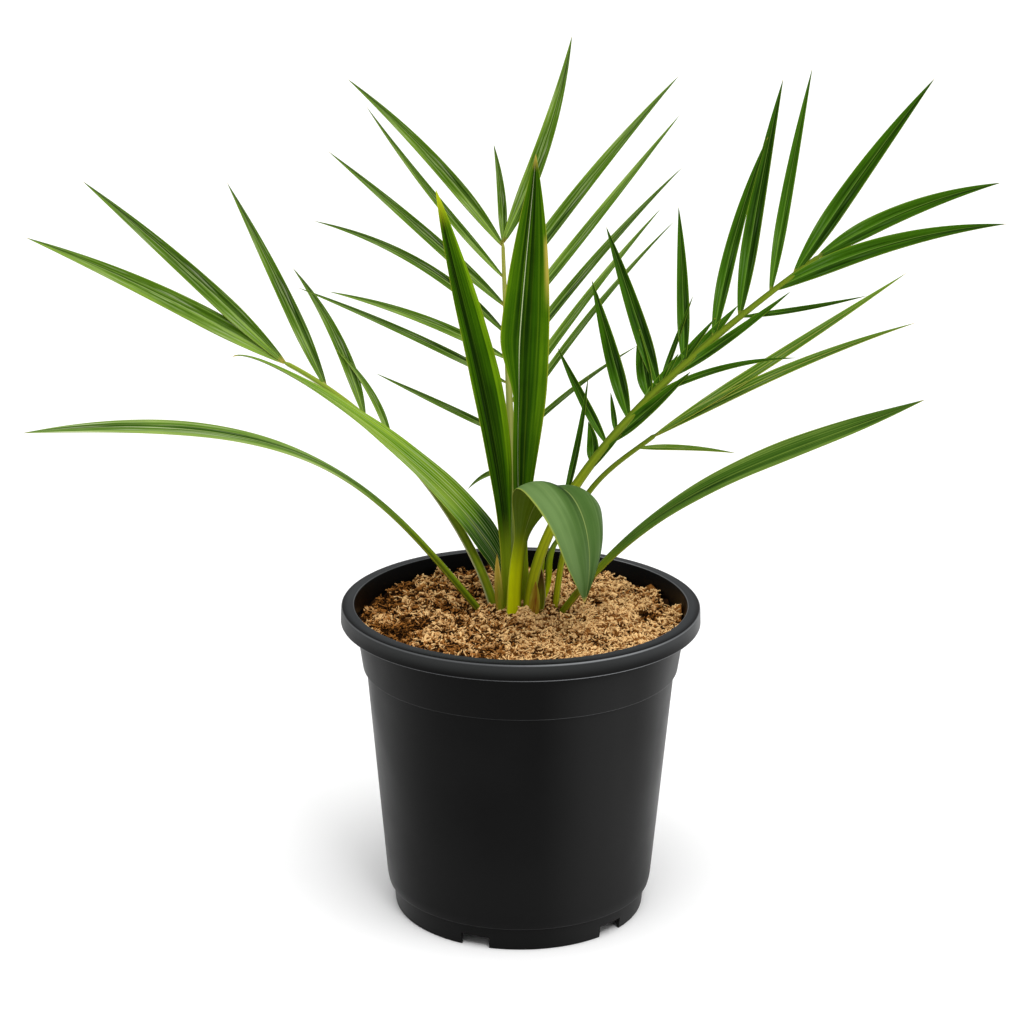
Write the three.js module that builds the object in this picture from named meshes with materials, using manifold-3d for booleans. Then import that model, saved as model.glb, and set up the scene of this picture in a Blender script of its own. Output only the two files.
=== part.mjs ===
// Potted Canary Island date palm: a young plant in a ten-inch nursery pot.
// Millimetres, +Z up. The origin is the centre of the pot's underside.
// A heading is an angle about +Z, from +X towards +Y.
import * as THREE from "three";
import { mergeVertices } from "three/addons/utils/BufferGeometryUtils.js";
import Module from "manifold-3d";

const wasm = await Module();
wasm.setup();

// Driving dimensions
const CLEARANCE = 0.3;
const ROUND_SEGMENTS = 48;
const TANGENT_STEP = 0.01; // of a leaflet's length
const MERGE_WITHIN = 1e-4;

const POT = {
  wall: 2,
  discRadius: 60,
  gutterRoof: 8.6,
  footRadius: 89.7,
  footTopRadius: 91.6,
  footHeight: 17.2,
  stepRadius: 94.4,
  stepHeight: 17.6,
  bodyBaseRadius: 95.6,
  bodyBase: 23,
  bodyTopRadius: 109.5,
  bodyTop: 180.8,
  bandRadius: 111.9,
  bandBottom: 181.3,
  bandTopRadius: 117,
  bandTop: 216.3,
  rimRadius: 127.3,
  rimTopRadius: 126.8,
  rimBottom: 214.8,
  rimShoulder: 226.6,
  lipRadius: 117.9,
  height: 227.4,
};
const NOTCH = { headings: [-110, -44, 30, 103, 176], width: 20.5, height: 8.6 };
const DRAIN = { count: 5, radius: 5, circle: 75, firstHeading: -77, sides: 16, drillLength: 12 };
const SOIL = { edgeHeight: 214.5, topHeight: 216, topRadius: 52, edgeSlope: 4 };

const FOLIAGE = {
  thicknessShare: 0.01, // of a leaf's or leaflet's length
  foldShare: 0.3, // how far an edge lifts above the midrib, of the half width
  tipThinning: 0.6, // how much of a leaf's thickness is gone at its tip
  lobeShare: 0.85, // half width of a lobe, of the other half's
  lowerPointShare: 0.6, // where a ring's lower points sit, of the half width
  lowerDepth: 0.25, // how far below the midrib they sit, of the thickness
  bellyDepth: 0.2, // how much further where the ring is a full stem
  strapRings: 16,
  rachisRings: 14,
  rachisDepth: 0.85, // of its width
  leafletRings: 5,
  leafletOpensFrom: -0.1, // where its widening starts, just inside the rachis
  leafletWidest: 0.36, // along the leaflet
  leafletRootShare: 0.35, // root width, of the leaflet's width
  leafletThinnest: 1,
  leafletTaper: 1.6,
};

// Undivided leaves. Each arc lists the reach and rise of the three points that
// steer it from its foot. The blade opens at bladeFrom, roll turns its face, twist
// turns it further towards the tip, and a lobe is a left half that opens apart
// from the right one. A foldShare below zero lets both edges droop.
const STRAPS = {
  left_narrow_strap: {
    foot: [-30, 13], heading: 210, arc: [[80, 102], [129, 169], [332, 175]],
    stem: 5.5, stemThickness: 5, width: 11, bladeFrom: 0.35, widest: 0.72, roll: -49, taper: 1,
  },
  left_broad_strap: {
    foot: [-15, 28], heading: 192, arc: [[-35, 54], [188, 218], [187, 190]],
    stem: 8, stemThickness: 6, width: 25.5, bladeFrom: 0, widest: 0.22, roll: -65, twist: 67, taper: 1,
  },
  right_strap: {
    foot: [31, 14], heading: -25, arc: [[74, 109], [162, 135], [256, 185]],
    stem: 5.5, stemThickness: 5, width: 18, bladeFrom: 0, widest: 0.65, roll: 43, taper: 1,
  },
  upright_strap: {
    foot: [-10, 11], heading: 175, arc: [[0, 135], [20, 180], [50, 302]],
    stem: 9, stemThickness: 6, width: 26, bladeFrom: 0.09, widest: 0.5, roll: -45, taper: 0.9,
  },
  folded_leaf: {
    foot: [4, 21], heading: 45, arc: [[-20, 140], [-1, 224], [6, 325]],
    stem: 8, stemThickness: 6, width: 38, bladeFrom: 0.1, widest: 0.53, roll: 45, taper: 1,
    lobe: { from: 0.46, full: 0.62 },
  },
  arched_leaf: {
    foot: [-5, 0], heading: -52, arc: [[3, 148], [101, 123], [78, 31]],
    stem: 11, stemThickness: 8, width: 69, bladeFrom: 0.26, widest: 0.64, roll: -7, twist: -16,
    taper: 0.9, foldShare: -0.18, finish: "young",
  },
  young_shoot: {
    foot: [12, 20], heading: 20, arc: [[18, 22], [-3, 33], [22, 57]],
    stem: 4, stemThickness: 3, width: 5, bladeFrom: 0.2, widest: 0.5, roll: 60, taper: 1,
    finish: "young",
  },
  rear_shoot: {
    foot: [12, 31], heading: 20, arc: [[2, 19], [3, 36], [6, 54]],
    stem: 4, stemThickness: 3, width: 5, bladeFrom: 0.2, widest: 0.5, roll: 60, taper: 1,
    finish: "young",
  },
  papery_bract: {
    foot: [-15, 3], heading: 180, arc: [[0, 15], [2, 30], [2, 46]],
    stem: 5, stemThickness: 2, width: 6, bladeFrom: 0.1, widest: 0.3, roll: -90, taper: 1,
    finish: "bract",
  },
};

// Feather-shaped leaves. A leaflet leaves the rachis at a share of its length,
// on side 1 (left, seen from the foot) or -1, and at an angle called spread.
const FRONDS = {
  left_frond: {
    foot: [-19, 20], heading: 160, arc: [[22, 70], [89, 137], [161, 165]], roll: -50,
    stem: 7.5, tipStem: 3.5, lift: 12, sagShare: 0.04,
    leaflets: [
      { at: 1.0, side: 1, length: 225, spread: -1, width: 15.5, bow: -3 },
      { at: 1.0, side: -1, length: 215, spread: 16, width: 13, bow: 1 },
      { at: 0.85, side: -1, length: 175, spread: 30, width: 10.5, bow: 1 },
      { at: 0.7, side: -1, length: 125, spread: 24, width: 9, bow: 6 },
      { at: 0.59, side: -1, length: 80, spread: 15, width: 5.5, bow: 5 },
    ],
  },
  back_frond: {
    foot: [-5, 37], heading: 96, arc: [[-8, 82], [75, 194], [89, 243]], roll: 0,
    stem: 8, tipStem: 3.5, lift: 7, sagShare: 0.045,
    leaflets: [
      { at: 1.0, side: 1, length: 75, spread: 4, width: 6.5, bow: -2 },
      { at: 0.99, side: 1, length: 170, spread: 41, width: 10.5, bow: -4 },
      { at: 0.9, side: 1, length: 165, spread: 36, width: 6.5, bow: 4 },
      { at: 0.82, side: 1, length: 175, spread: 46, width: 9 },
      { at: 0.74, side: 1, length: 165, spread: 57, width: 7.5, bow: -11 },
      { at: 0.67, side: 1, length: 140, spread: 67, width: 7.5, bow: -4 },
      { at: 0.6, side: 1, length: 170, spread: 63, width: 6, bow: -1 },
      { at: 0.45, side: 1, length: 110, spread: 62, width: 5, bow: 1 },
      { at: 0.36, side: 1, length: 35, spread: 110, width: 4, bow: -4 },
      { at: 1.0, side: -1, length: 165, spread: 19, width: 12, bow: 6 },
      { at: 0.86, side: -1, length: 215, spread: 39, width: 10, bow: -2 },
      { at: 0.75, side: -1, length: 215, spread: 39, width: 7.5, bow: 1 },
      { at: 0.64, side: -1, length: 205, spread: 41, width: 7, bow: -3 },
      { at: 0.54, side: -1, length: 190, spread: 38, width: 6.5, bow: -2 },
      { at: 0.48, side: -1, length: 200, spread: 39, width: 5, bow: -4 },
      { at: 0.43, side: -1, length: 120, spread: 52, width: 4, bow: -3 },
    ],
  },
  right_frond: {
    foot: [5, 5], heading: 5, arc: [[5, 99], [107, 187], [201, 257]], roll: 55,
    stem: 8.5, tipStem: 3.5, lift: 5, sagShare: 0.03,
    leaflets: [
      { at: 0.25, side: 1, length: 95, spread: 20, width: 5, bow: -2 },
      { at: 0.36, side: 1, length: 30, spread: 44, width: 9, bow: -2 },
      { at: 0.41, side: 1, length: 80, spread: 68, width: 7, bow: 1 },
      { at: 0.48, side: 1, length: 105, spread: 59, width: 12 },
      { at: 0.52, side: 1, length: 45, spread: 10, width: 7, bow: -1 },
      { at: 0.54, side: 1, length: 50, spread: 54, width: 11, bow: 1 },
      { at: 0.57, side: 1, length: 125, spread: 65, width: 11.5 },
      { at: 0.58, side: 1, length: 60, spread: 9, width: 7 },
      { at: 0.64, side: 1, length: 115, spread: 51, width: 9, bow: -1 },
      { at: 0.66, side: 1, length: 50, spread: 8, width: 7 },
      { at: 0.72, side: 1, length: 150, spread: 36, width: 10, bow: 4 },
      { at: 0.79, side: 1, length: 175, spread: 42, width: 12, bow: 2 },
      { at: 0.87, side: 1, length: 165, spread: 43, width: 8.5, bow: 1 },
      { at: 0.93, side: 1, length: 170, spread: 19, width: 14, bow: 2 },
      { at: 0.99, side: -1, length: 135, spread: 14, width: 14.5, bow: -6 },
      { at: 0.88, side: -1, length: 165, spread: 22, width: 15.5, bow: -8 },
      { at: 0.79, side: -1, length: 90, spread: 30, width: 4, bow: 2 },
      { at: 0.6, side: -1, length: 105, spread: 7, width: 7, bow: 2 },
      { at: 0.54, side: -1, length: 110, spread: 30, width: 5, bow: -6 },
      { at: 0.41, side: -1, length: 80, spread: 9, width: 10, bow: 1 },
      { at: 0.33, side: -1, length: 40, spread: 8, width: 5 },
    ],
  },
  right_rear_frond: {
    foot: [25, 22], heading: 28, arc: [[7, 86], [36, 93], [80, 117]], roll: 30,
    stem: 5, tipStem: 3.5, lift: 0, sagShare: 0.06,
    leaflets: [
      { at: 1.0, side: 1, length: 240, spread: -1, width: 9, bow: -4 },
      { at: 0.98, side: -1, length: 220, spread: 11, width: 9, bow: -4 },
      { at: 0.89, side: -1, length: 70, spread: 42, width: 5, bow: -1 },
    ],
  },
};

const UP = new THREE.Vector3(0, 0, 1);
const COLOURS = { pot: 0x26282a, soil: 0xa9784a, leaf: 0x3f7a1a, young: 0x4f7a58, bract: 0xc4a84e };

// Solids and booleans
function toSolid(geometry) {
  const bare = geometry.clone();
  bare.deleteAttribute("normal");
  bare.deleteAttribute("uv");
  const merged = mergeVertices(bare, MERGE_WITHIN);
  return new wasm.Manifold(new wasm.Mesh({
    numProp: 3,
    vertProperties: new Float32Array(merged.attributes.position.array),
    triVerts: new Uint32Array(merged.index.array),
  }));
}

function toGeometry(solid) {
  const mesh = solid.getMesh();
  const geometry = new THREE.BufferGeometry();
  geometry.setAttribute("position", new THREE.BufferAttribute(mesh.vertProperties, 3));
  geometry.setIndex(new THREE.BufferAttribute(mesh.triVerts, 1));
  geometry.computeVertexNormals();
  return geometry;
}

function turnedAboutZ(profile) {
  const points = profile.map(([radius, height]) => new THREE.Vector2(radius, height));
  return new THREE.LatheGeometry(points, ROUND_SEGMENTS).rotateX(Math.PI / 2);
}

function atHeading(geometry, heading, radius, height) {
  return geometry.translate(radius, 0, height).rotateZ(THREE.MathUtils.degToRad(heading));
}

// Pot and soil
function bodyInnerRadius(height) {
  const share = (height - POT.bodyBase) / (POT.bodyTop - POT.bodyBase);
  return THREE.MathUtils.lerp(POT.bodyBaseRadius, POT.bodyTopRadius, share) - POT.wall;
}

function bandInnerRadius(height) {
  const share = (height - POT.bodyTop) / (POT.rimBottom - POT.bodyTop);
  return THREE.MathUtils.lerp(bodyInnerRadius(POT.bodyTop), POT.bandTopRadius - POT.wall, share);
}

function potGeometry() {
  const floorTop = POT.gutterRoof + POT.wall;
  const outside = [
    [0, 0],
    [POT.discRadius, 0],
    [POT.discRadius, POT.gutterRoof],
    [POT.footRadius - POT.wall, POT.gutterRoof],
    [POT.footRadius - POT.wall, 0],
    [POT.footRadius, 0],
    [POT.footTopRadius, POT.footHeight],
    [POT.stepRadius, POT.stepHeight],
    [POT.bodyBaseRadius, POT.bodyBase],
    [POT.bodyTopRadius, POT.bodyTop],
    [POT.bandRadius, POT.bandBottom],
    [POT.bandTopRadius, POT.bandTop],
    [POT.rimRadius - POT.wall, POT.rimShoulder - POT.wall],
    [POT.rimRadius - POT.wall, POT.rimBottom],
    [POT.rimRadius, POT.rimBottom],
    [POT.rimTopRadius, POT.rimShoulder],
    [POT.lipRadius, POT.height],
  ];
  const inside = [
    [bandInnerRadius(POT.rimBottom), POT.rimBottom],
    [bodyInnerRadius(POT.bodyTop), POT.bodyTop],
    [bodyInnerRadius(POT.bodyBase), POT.bodyBase],
    [POT.footTopRadius - POT.wall, POT.footHeight],
    [POT.footRadius - POT.wall, floorTop],
    [POT.discRadius - POT.wall, floorTop],
    [POT.discRadius - POT.wall, POT.wall],
    [0, POT.wall],
  ];
  let pot = toSolid(turnedAboutZ([...outside, ...inside]));
  const footDepth = 2 * NOTCH.height;
  for (const heading of NOTCH.headings) {
    const block = new THREE.BoxGeometry(footDepth, NOTCH.width, 2 * NOTCH.height);
    pot = pot.subtract(toSolid(atHeading(block, heading, POT.footRadius, 0)));
  }
  for (let hole = 0; hole < DRAIN.count; hole += 1) {
    const heading = DRAIN.firstHeading + (360 / DRAIN.count) * hole;
    const drill = new THREE.CylinderGeometry(DRAIN.radius, DRAIN.radius, DRAIN.drillLength, DRAIN.sides);
    drill.rotateX(Math.PI / 2);
    pot = pot.subtract(toSolid(atHeading(drill, heading, DRAIN.circle, POT.gutterRoof)));
  }
  return toGeometry(pot);
}

function soilGeometry() {
  const floor = POT.gutterRoof + POT.wall + CLEARANCE;
  const recess = POT.discRadius - POT.wall - CLEARANCE;
  const shoulder = SOIL.edgeHeight - POT.wall;
  return turnedAboutZ([
    [0, POT.wall + CLEARANCE],
    [recess, POT.wall + CLEARANCE],
    [recess, floor],
    [POT.footRadius - POT.wall - CLEARANCE, floor],
    [POT.footTopRadius - POT.wall - CLEARANCE, POT.footHeight],
    [bodyInnerRadius(POT.bodyBase) - CLEARANCE, POT.bodyBase],
    [bodyInnerRadius(POT.bodyTop) - CLEARANCE, POT.bodyTop],
    [bandInnerRadius(shoulder) - CLEARANCE, shoulder],
    [bandInnerRadius(shoulder) - SOIL.edgeSlope, SOIL.edgeHeight],
    [SOIL.topRadius, SOIL.topHeight],
    [0, SOIL.topHeight],
  ]);
}

// The foot of a stem is cut level where it leaves the soil
function cutLevel(ring) {
  return ring.map((point) => new THREE.Vector3(point.x, point.y, SOIL.topHeight + CLEARANCE));
}

// The line that a stem follows, and the directions across and out of its face
class Spine {
  constructor({ foot, heading, arc, roll, twist = 0 }) {
    const angle = THREE.MathUtils.degToRad(heading);
    const outward = new THREE.Vector3(Math.cos(angle), Math.sin(angle), 0);
    const start = new THREE.Vector3(foot[0], foot[1], SOIL.topHeight + CLEARANCE);
    const steer = ([reach, rise]) => start.clone().addScaledVector(outward, reach).addScaledVector(UP, rise);
    this.curve = new THREE.CubicBezierCurve3(start, ...arc.map(steer));
    this.level = UP.clone().cross(outward);
    this.roll = THREE.MathUtils.degToRad(roll);
    this.twist = THREE.MathUtils.degToRad(twist);
    this.length = this.curve.getLength();
  }

  frameAt(share) {
    const along = this.curve.getTangentAt(share);
    const across = this.level.clone().applyAxisAngle(along, this.roll + this.twist * share);
    return { centre: this.curve.getPointAt(share), along, across, face: along.clone().cross(across) };
  }
}

// One ring of a blade: channel, left edge, underside, right edge. A stem's ring
// has a fuller underside, with two more points.
function bladeRing({ centre, across, face }, { left, right = left, thickness, fold, belly }) {
  const place = (side, rise) => centre.clone().addScaledVector(across, side).addScaledVector(face, rise);
  const keel = -fold / 2;
  const { lowerPointShare, lowerDepth, bellyDepth } = FOLIAGE;
  const lower = keel - (lowerDepth + bellyDepth * belly) * thickness + lowerPointShare * fold;
  return [
    place(0, keel + thickness / 2),
    place(-right, keel + fold),
    place(-lowerPointShare * right, lower),
    place(0, keel - thickness / 2),
    place(lowerPointShare * left, lower),
    place(left, keel + fold),
  ];
}

// A closed skin over the rings, from a flat foot to a pointed tip
function lofted(rings, tip) {
  const sides = rings[0].length;
  const positions = [...rings.flat(), tip].flatMap((point) => point.toArray());
  const faces = [];
  for (let side = 1; side < sides - 1; side += 1) {
    faces.push(0, side + 1, side);
  }
  for (let ring = 0; ring < rings.length; ring += 1) {
    const base = ring * sides;
    for (let side = 0; side < sides; side += 1) {
      const next = (side + 1) % sides;
      if (ring === rings.length - 1) {
        faces.push(base + side, base + next, rings.length * sides);
      } else {
        faces.push(base + side, base + next, base + sides + next);
        faces.push(base + side, base + sides + next, base + sides + side);
      }
    }
  }
  const geometry = new THREE.BufferGeometry();
  geometry.setAttribute("position", new THREE.Float32BufferAttribute(positions, 3));
  geometry.setIndex(faces);
  geometry.computeVertexNormals();
  return geometry;
}

function lobeHalfWidth({ stem, lobe }, share, width) {
  const open = THREE.MathUtils.smoothstep(share, lobe.from, lobe.full);
  return THREE.MathUtils.lerp(stem, FOLIAGE.lobeShare * width, open) / 2;
}

function strapGeometry(strap) {
  const spine = new Spine(strap);
  const rings = [];
  for (let ring = 0; ring < FOLIAGE.strapRings; ring += 1) {
    const share = ring / FOLIAGE.strapRings;
    const open = THREE.MathUtils.smoothstep(share, strap.bladeFrom, strap.widest);
    const beyond = Math.max(0, (share - strap.widest) / (1 - strap.widest));
    const width = THREE.MathUtils.lerp(strap.stem, strap.width, open) * (1 - beyond ** 2) ** strap.taper;
    const blade = THREE.MathUtils.smoothstep(share, 0, strap.widest);
    const bladeThickness = spine.length * FOLIAGE.thicknessShare;
    const thickness = THREE.MathUtils.lerp(strap.stemThickness, bladeThickness, blade);
    rings.push(bladeRing(spine.frameAt(share), {
      left: strap.lobe ? lobeHalfWidth(strap, share, width) : width / 2,
      right: width / 2,
      thickness: thickness * (1 - FOLIAGE.tipThinning * beyond),
      fold: (strap.foldShare ?? FOLIAGE.foldShare) * blade * width / 2,
      belly: 1 - blade,
    }));
  }
  return lofted([cutLevel(rings[0]), ...rings.slice(1)], spine.frameAt(1).centre);
}

function leafletGeometry(spine, frond, leaflet) {
  const { centre, along, across, face } = spine.frameAt(leaflet.at);
  const spread = THREE.MathUtils.degToRad(leaflet.spread);
  const lift = THREE.MathUtils.degToRad(frond.lift);
  const outward = across.clone().multiplyScalar(leaflet.side * Math.cos(lift)).addScaledVector(face, Math.sin(lift));
  const direction = along.clone().multiplyScalar(Math.cos(spread)).addScaledVector(outward, Math.sin(spread));
  const width = face.clone().cross(direction).normalize();
  const inward = width.clone().multiplyScalar(leaflet.side);
  const { length, bow = 0 } = leaflet;
  const centreAt = (share) => centre.clone()
    .addScaledVector(direction, share * length)
    .addScaledVector(inward, 4 * bow * share * (1 - share))
    .addScaledVector(UP, -frond.sagShare * length * share ** 2);
  const rings = [];
  for (let ring = 0; ring < FOLIAGE.leafletRings; ring += 1) {
    const share = ring / FOLIAGE.leafletRings;
    const open = THREE.MathUtils.smoothstep(share, FOLIAGE.leafletOpensFrom, FOLIAGE.leafletWidest);
    const beyond = Math.max(0, (share - FOLIAGE.leafletWidest) / (1 - FOLIAGE.leafletWidest));
    const full = THREE.MathUtils.lerp(FOLIAGE.leafletRootShare, 1, open) * (1 - beyond ** FOLIAGE.leafletTaper);
    const halfWidth = full * leaflet.width / 2;
    const tangent = centreAt(share + TANGENT_STEP).sub(centreAt(share)).normalize();
    const upward = tangent.clone().cross(width).normalize();
    rings.push(bladeRing({ centre: centreAt(share), across: width, face: upward }, {
      left: halfWidth,
      thickness: Math.max(length * FOLIAGE.thicknessShare, FOLIAGE.leafletThinnest),
      fold: FOLIAGE.foldShare * halfWidth,
      belly: 0,
    }));
  }
  return lofted(rings, centreAt(1));
}

function frondGeometry(frond) {
  const spine = new Spine(frond);
  const rings = [];
  for (let ring = 0; ring < FOLIAGE.rachisRings; ring += 1) {
    const share = ring / FOLIAGE.rachisRings;
    const width = THREE.MathUtils.lerp(frond.stem, frond.tipStem, share);
    rings.push(bladeRing(spine.frameAt(share), {
      left: width / 2,
      thickness: FOLIAGE.rachisDepth * width,
      fold: 0,
      belly: 1,
    }));
  }
  const end = spine.frameAt(1);
  const tip = end.centre.clone().addScaledVector(end.along, frond.tipStem);
  const stalk = toSolid(lofted([cutLevel(rings[0]), ...rings.slice(1)], tip));
  const blades = frond.leaflets.map((leaflet) => toSolid(leafletGeometry(spine, frond, leaflet)));
  return toGeometry(blades.reduce((whole, blade) => whole.add(blade), stalk));
}

// Assembly
function finish(color, roughness) {
  return new THREE.MeshStandardMaterial({ color, roughness, metalness: 0 });
}

const finishes = {
  pot: finish(COLOURS.pot, 0.6),
  soil: finish(COLOURS.soil, 0.95),
  leaf: finish(COLOURS.leaf, 0.45),
  young: finish(COLOURS.young, 0.45),
  bract: finish(COLOURS.bract, 0.8),
};

function namedMesh(name, geometry, material) {
  const mesh = new THREE.Mesh(geometry, material);
  mesh.name = name;
  return mesh;
}

const palm = new THREE.Group();
palm.add(namedMesh("pot", potGeometry(), finishes.pot));
palm.add(namedMesh("soil", soilGeometry(), finishes.soil));
for (const [name, strap] of Object.entries(STRAPS)) {
  palm.add(namedMesh(name, strapGeometry(strap), finishes[strap.finish ?? "leaf"]));
}
for (const [name, frond] of Object.entries(FRONDS)) {
  palm.add(namedMesh(name, frondGeometry(frond), finishes.leaf));
}

export default palm;
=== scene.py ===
"""Potted Canary Island date palm: leaves, pot and bark mix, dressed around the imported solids.

Sizes are in millimetres and angles in degrees, as in the part's source, and become metres
when a mesh is made. A heading is an angle about +Z, from +X towards +Y.
"""
import logging
import math
from dataclasses import dataclass
from enum import Enum

import bmesh
import bpy
import numpy as np
from bpy.types import Material, Mesh, Node, NodeSocket, NodeTree, Object
from mathutils import Matrix, Vector


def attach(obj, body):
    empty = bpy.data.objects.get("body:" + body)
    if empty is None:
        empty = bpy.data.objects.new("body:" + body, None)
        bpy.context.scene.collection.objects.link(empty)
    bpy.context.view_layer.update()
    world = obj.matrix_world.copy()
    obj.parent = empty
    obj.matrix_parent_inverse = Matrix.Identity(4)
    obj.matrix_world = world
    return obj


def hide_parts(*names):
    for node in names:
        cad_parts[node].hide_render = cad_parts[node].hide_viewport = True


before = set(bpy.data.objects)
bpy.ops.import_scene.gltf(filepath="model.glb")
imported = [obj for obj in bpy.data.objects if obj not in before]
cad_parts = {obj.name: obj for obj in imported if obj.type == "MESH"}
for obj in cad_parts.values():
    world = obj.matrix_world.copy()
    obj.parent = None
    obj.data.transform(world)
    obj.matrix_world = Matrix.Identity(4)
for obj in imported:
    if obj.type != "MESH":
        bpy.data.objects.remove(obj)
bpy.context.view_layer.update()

LOG = logging.getLogger("potted_palm")
MM = 0.001
BODY = "root"
BLADE_UV = "Blade"
TONE = "tone"
STALK = "stalk"
UNDER = "under"
SOIL_LEVEL = 216.3
WELD = 0.00002
UP = np.array([0.0, 0.0, 1.0])
FLOAT = "NodeSocketFloat"
VECTOR = "NodeSocketVector"
GEOMETRY = "NodeSocketGeometry"
MATERIAL = "NodeSocketMaterial"


# Small helpers


def linear(code: str) -> tuple[float, float, float, float]:
    """Turns a hex colour as seen on a screen into the linear colour of a shader.

    Args:
        code: six hex digits, red first.

    Returns:
        Red, green, blue and an alpha of one.
    """
    parts = [int(code[start:start + 2], 16) / 255 for start in (0, 2, 4)]
    return (*[p / 12.92 if p <= 0.04045 else ((p + 0.055) / 1.055) ** 2.4 for p in parts], 1.0)


def smoothstep(value: np.ndarray, low: float, high: float) -> np.ndarray:
    """Eases from 0 at low to 1 at high.

    Args:
        value: where it is read.
        low: the last place that gives 0.
        high: the first place that gives 1.

    Returns:
        The eased shares, in the shape of value.
    """
    share = np.clip((np.asarray(value, float) - low) / (high - low), 0, 1)
    return share * share * (3 - 2 * share)


def lerp(start: np.ndarray, end: np.ndarray, share: np.ndarray) -> np.ndarray:
    """Returns the value at a share of the way from start to end."""
    return start + (end - start) * share


def unit(vectors: np.ndarray) -> np.ndarray:
    """Returns the vectors, or the one vector, at length one."""
    return vectors / np.linalg.norm(vectors, axis=-1, keepdims=True)


def turned(vectors: np.ndarray, axes: np.ndarray, degrees: np.ndarray) -> np.ndarray:
    """Turns each vector by its angle about its unit axis, which is square to it.

    Args:
        vectors: the vectors.
        axes: one unit axis for each vector.
        degrees: one angle for each vector.

    Returns:
        The turned vectors.
    """
    angle = np.radians(degrees)[..., None]
    return vectors * np.cos(angle) + np.cross(axes, vectors) * np.sin(angle)


def circle(radius: float, count: int, height: float = 0.0) -> list[tuple[float, float, float]]:
    """Returns evenly spaced points round the pot's axis.

    Args:
        radius: the circle's radius.
        count: how many points.
        height: their height.

    Returns:
        The points.
    """
    angles = np.linspace(0, math.tau, count, endpoint=False)
    return [(radius * math.cos(a), radius * math.sin(a), height) for a in angles]


def band(first: int, second: int, count: int) -> list[tuple[int, ...]]:
    """Returns the faces between two rings of points, each given by the number of its first point.

    Args:
        first: the first point of one ring.
        second: the first point of the other.
        count: how many points each ring has.

    Returns:
        The faces.
    """
    pairs = [(step, (step + 1) % count) for step in range(count)]
    return [(first + step, second + step, second + after, first + after) for step, after in pairs]


def fan(first: int, peak: int, count: int) -> list[tuple[int, ...]]:
    """Returns the faces between a ring, given by the number of its first point, and one more point.

    Args:
        first: the first point of the ring.
        peak: the one more point.
        count: how many points the ring has.

    Returns:
        The faces.
    """
    return [(first + step, peak, first + (step + 1) % count) for step in range(count)]


def new_mesh(name: str, points: list | np.ndarray, faces: list) -> Mesh:
    """Makes a smooth mesh in metres from points in millimetres.

    Args:
        name: the mesh's name.
        points: its points.
        faces: the points of each face.

    Returns:
        The mesh.
    """
    mesh = bpy.data.meshes.new(name)
    mesh.from_pydata((np.array(points) * MM).tolist(), [], faces)
    mesh.polygons.foreach_set("use_smooth", [True] * len(faces))
    return mesh


def face_out(mesh: Mesh) -> Mesh:
    """Points the faces of a closed mesh outwards, shades them smooth and returns the mesh.

    Args:
        mesh: the mesh.

    Returns:
        The same mesh.
    """
    work = bmesh.new()
    work.from_mesh(mesh)
    bmesh.ops.recalc_face_normals(work, faces=work.faces)
    work.to_mesh(mesh)
    work.free()
    mesh.polygons.foreach_set("use_smooth", [True] * len(mesh.polygons))
    return mesh


def store(mesh: Mesh, label: str, values: np.ndarray) -> None:
    """Stores a number, or a vector, for each point of the mesh.

    Args:
        mesh: the mesh.
        label: the attribute's name.
        values: one number or vector for each point.
    """
    kind, field = ("FLOAT", "value") if values.ndim == 1 else ("FLOAT_VECTOR", "vector")
    mesh.attributes.new(label, kind, "POINT").data.foreach_set(field, values.astype(np.float32).ravel())


def linked(made: Object) -> Object:
    """Links an object to the scene and returns it."""
    bpy.context.scene.collection.objects.link(made)
    return made


def new_object(name: str, mesh: Mesh, material: Material | None = None) -> Object:
    """Links an object at the origin.

    Args:
        name: the object's name.
        mesh: its mesh.
        material: the mesh's one material, if it has none yet.

    Returns:
        The object.
    """
    if material is not None:
        mesh.materials.append(material)
    return linked(bpy.data.objects.new(name, mesh))


def plain(piece: Object) -> Object:
    """Turns a piece's modifiers into its plain mesh, and returns the piece.

    Args:
        piece: the piece, with its modifiers set.

    Returns:
        The same piece.
    """
    bpy.context.view_layer.update()
    depsgraph = bpy.context.evaluated_depsgraph_get()
    mesh = bpy.data.meshes.new_from_object(
        piece.evaluated_get(depsgraph), preserve_all_data_layers=True, depsgraph=depsgraph)
    piece.modifiers.clear()
    piece.data = mesh
    mesh.name = piece.name
    return piece


def settle(piece: Object, slot: str, *nodes: str) -> None:
    """Ties a finished piece to the body, hides the solids that it stands for, and logs its faces.

    Args:
        piece: the finished piece.
        slot: not used.
        nodes: the solids that it replaces.
    """
    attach(piece, BODY)
    if nodes:
        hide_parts(*nodes)
    LOG.info("%s: %d faces", piece.name, len(piece.data.polygons))


def grow(piece: Object, tree: NodeTree, inputs: dict) -> None:
    """Gives a piece a geometry tree, with its named inputs set by their sockets' identifiers.

    Args:
        piece: the piece that carries the tree.
        tree: the geometry tree.
        inputs: the value of each named input.
    """
    modifier = piece.modifiers.new(tree.name, "NODES")
    modifier.node_group = tree
    for item in tree.interface.items_tree:
        if item.item_type == "SOCKET" and item.in_out == "INPUT" and item.name in inputs:
            modifier[item.identifier] = inputs[item.name]


# Node trees


def open_socket(sockets: object, name: str) -> NodeSocket:
    """Returns the socket of that name which the node has in use."""
    return next(socket for socket in sockets if socket.name == name and socket.enabled)


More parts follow.
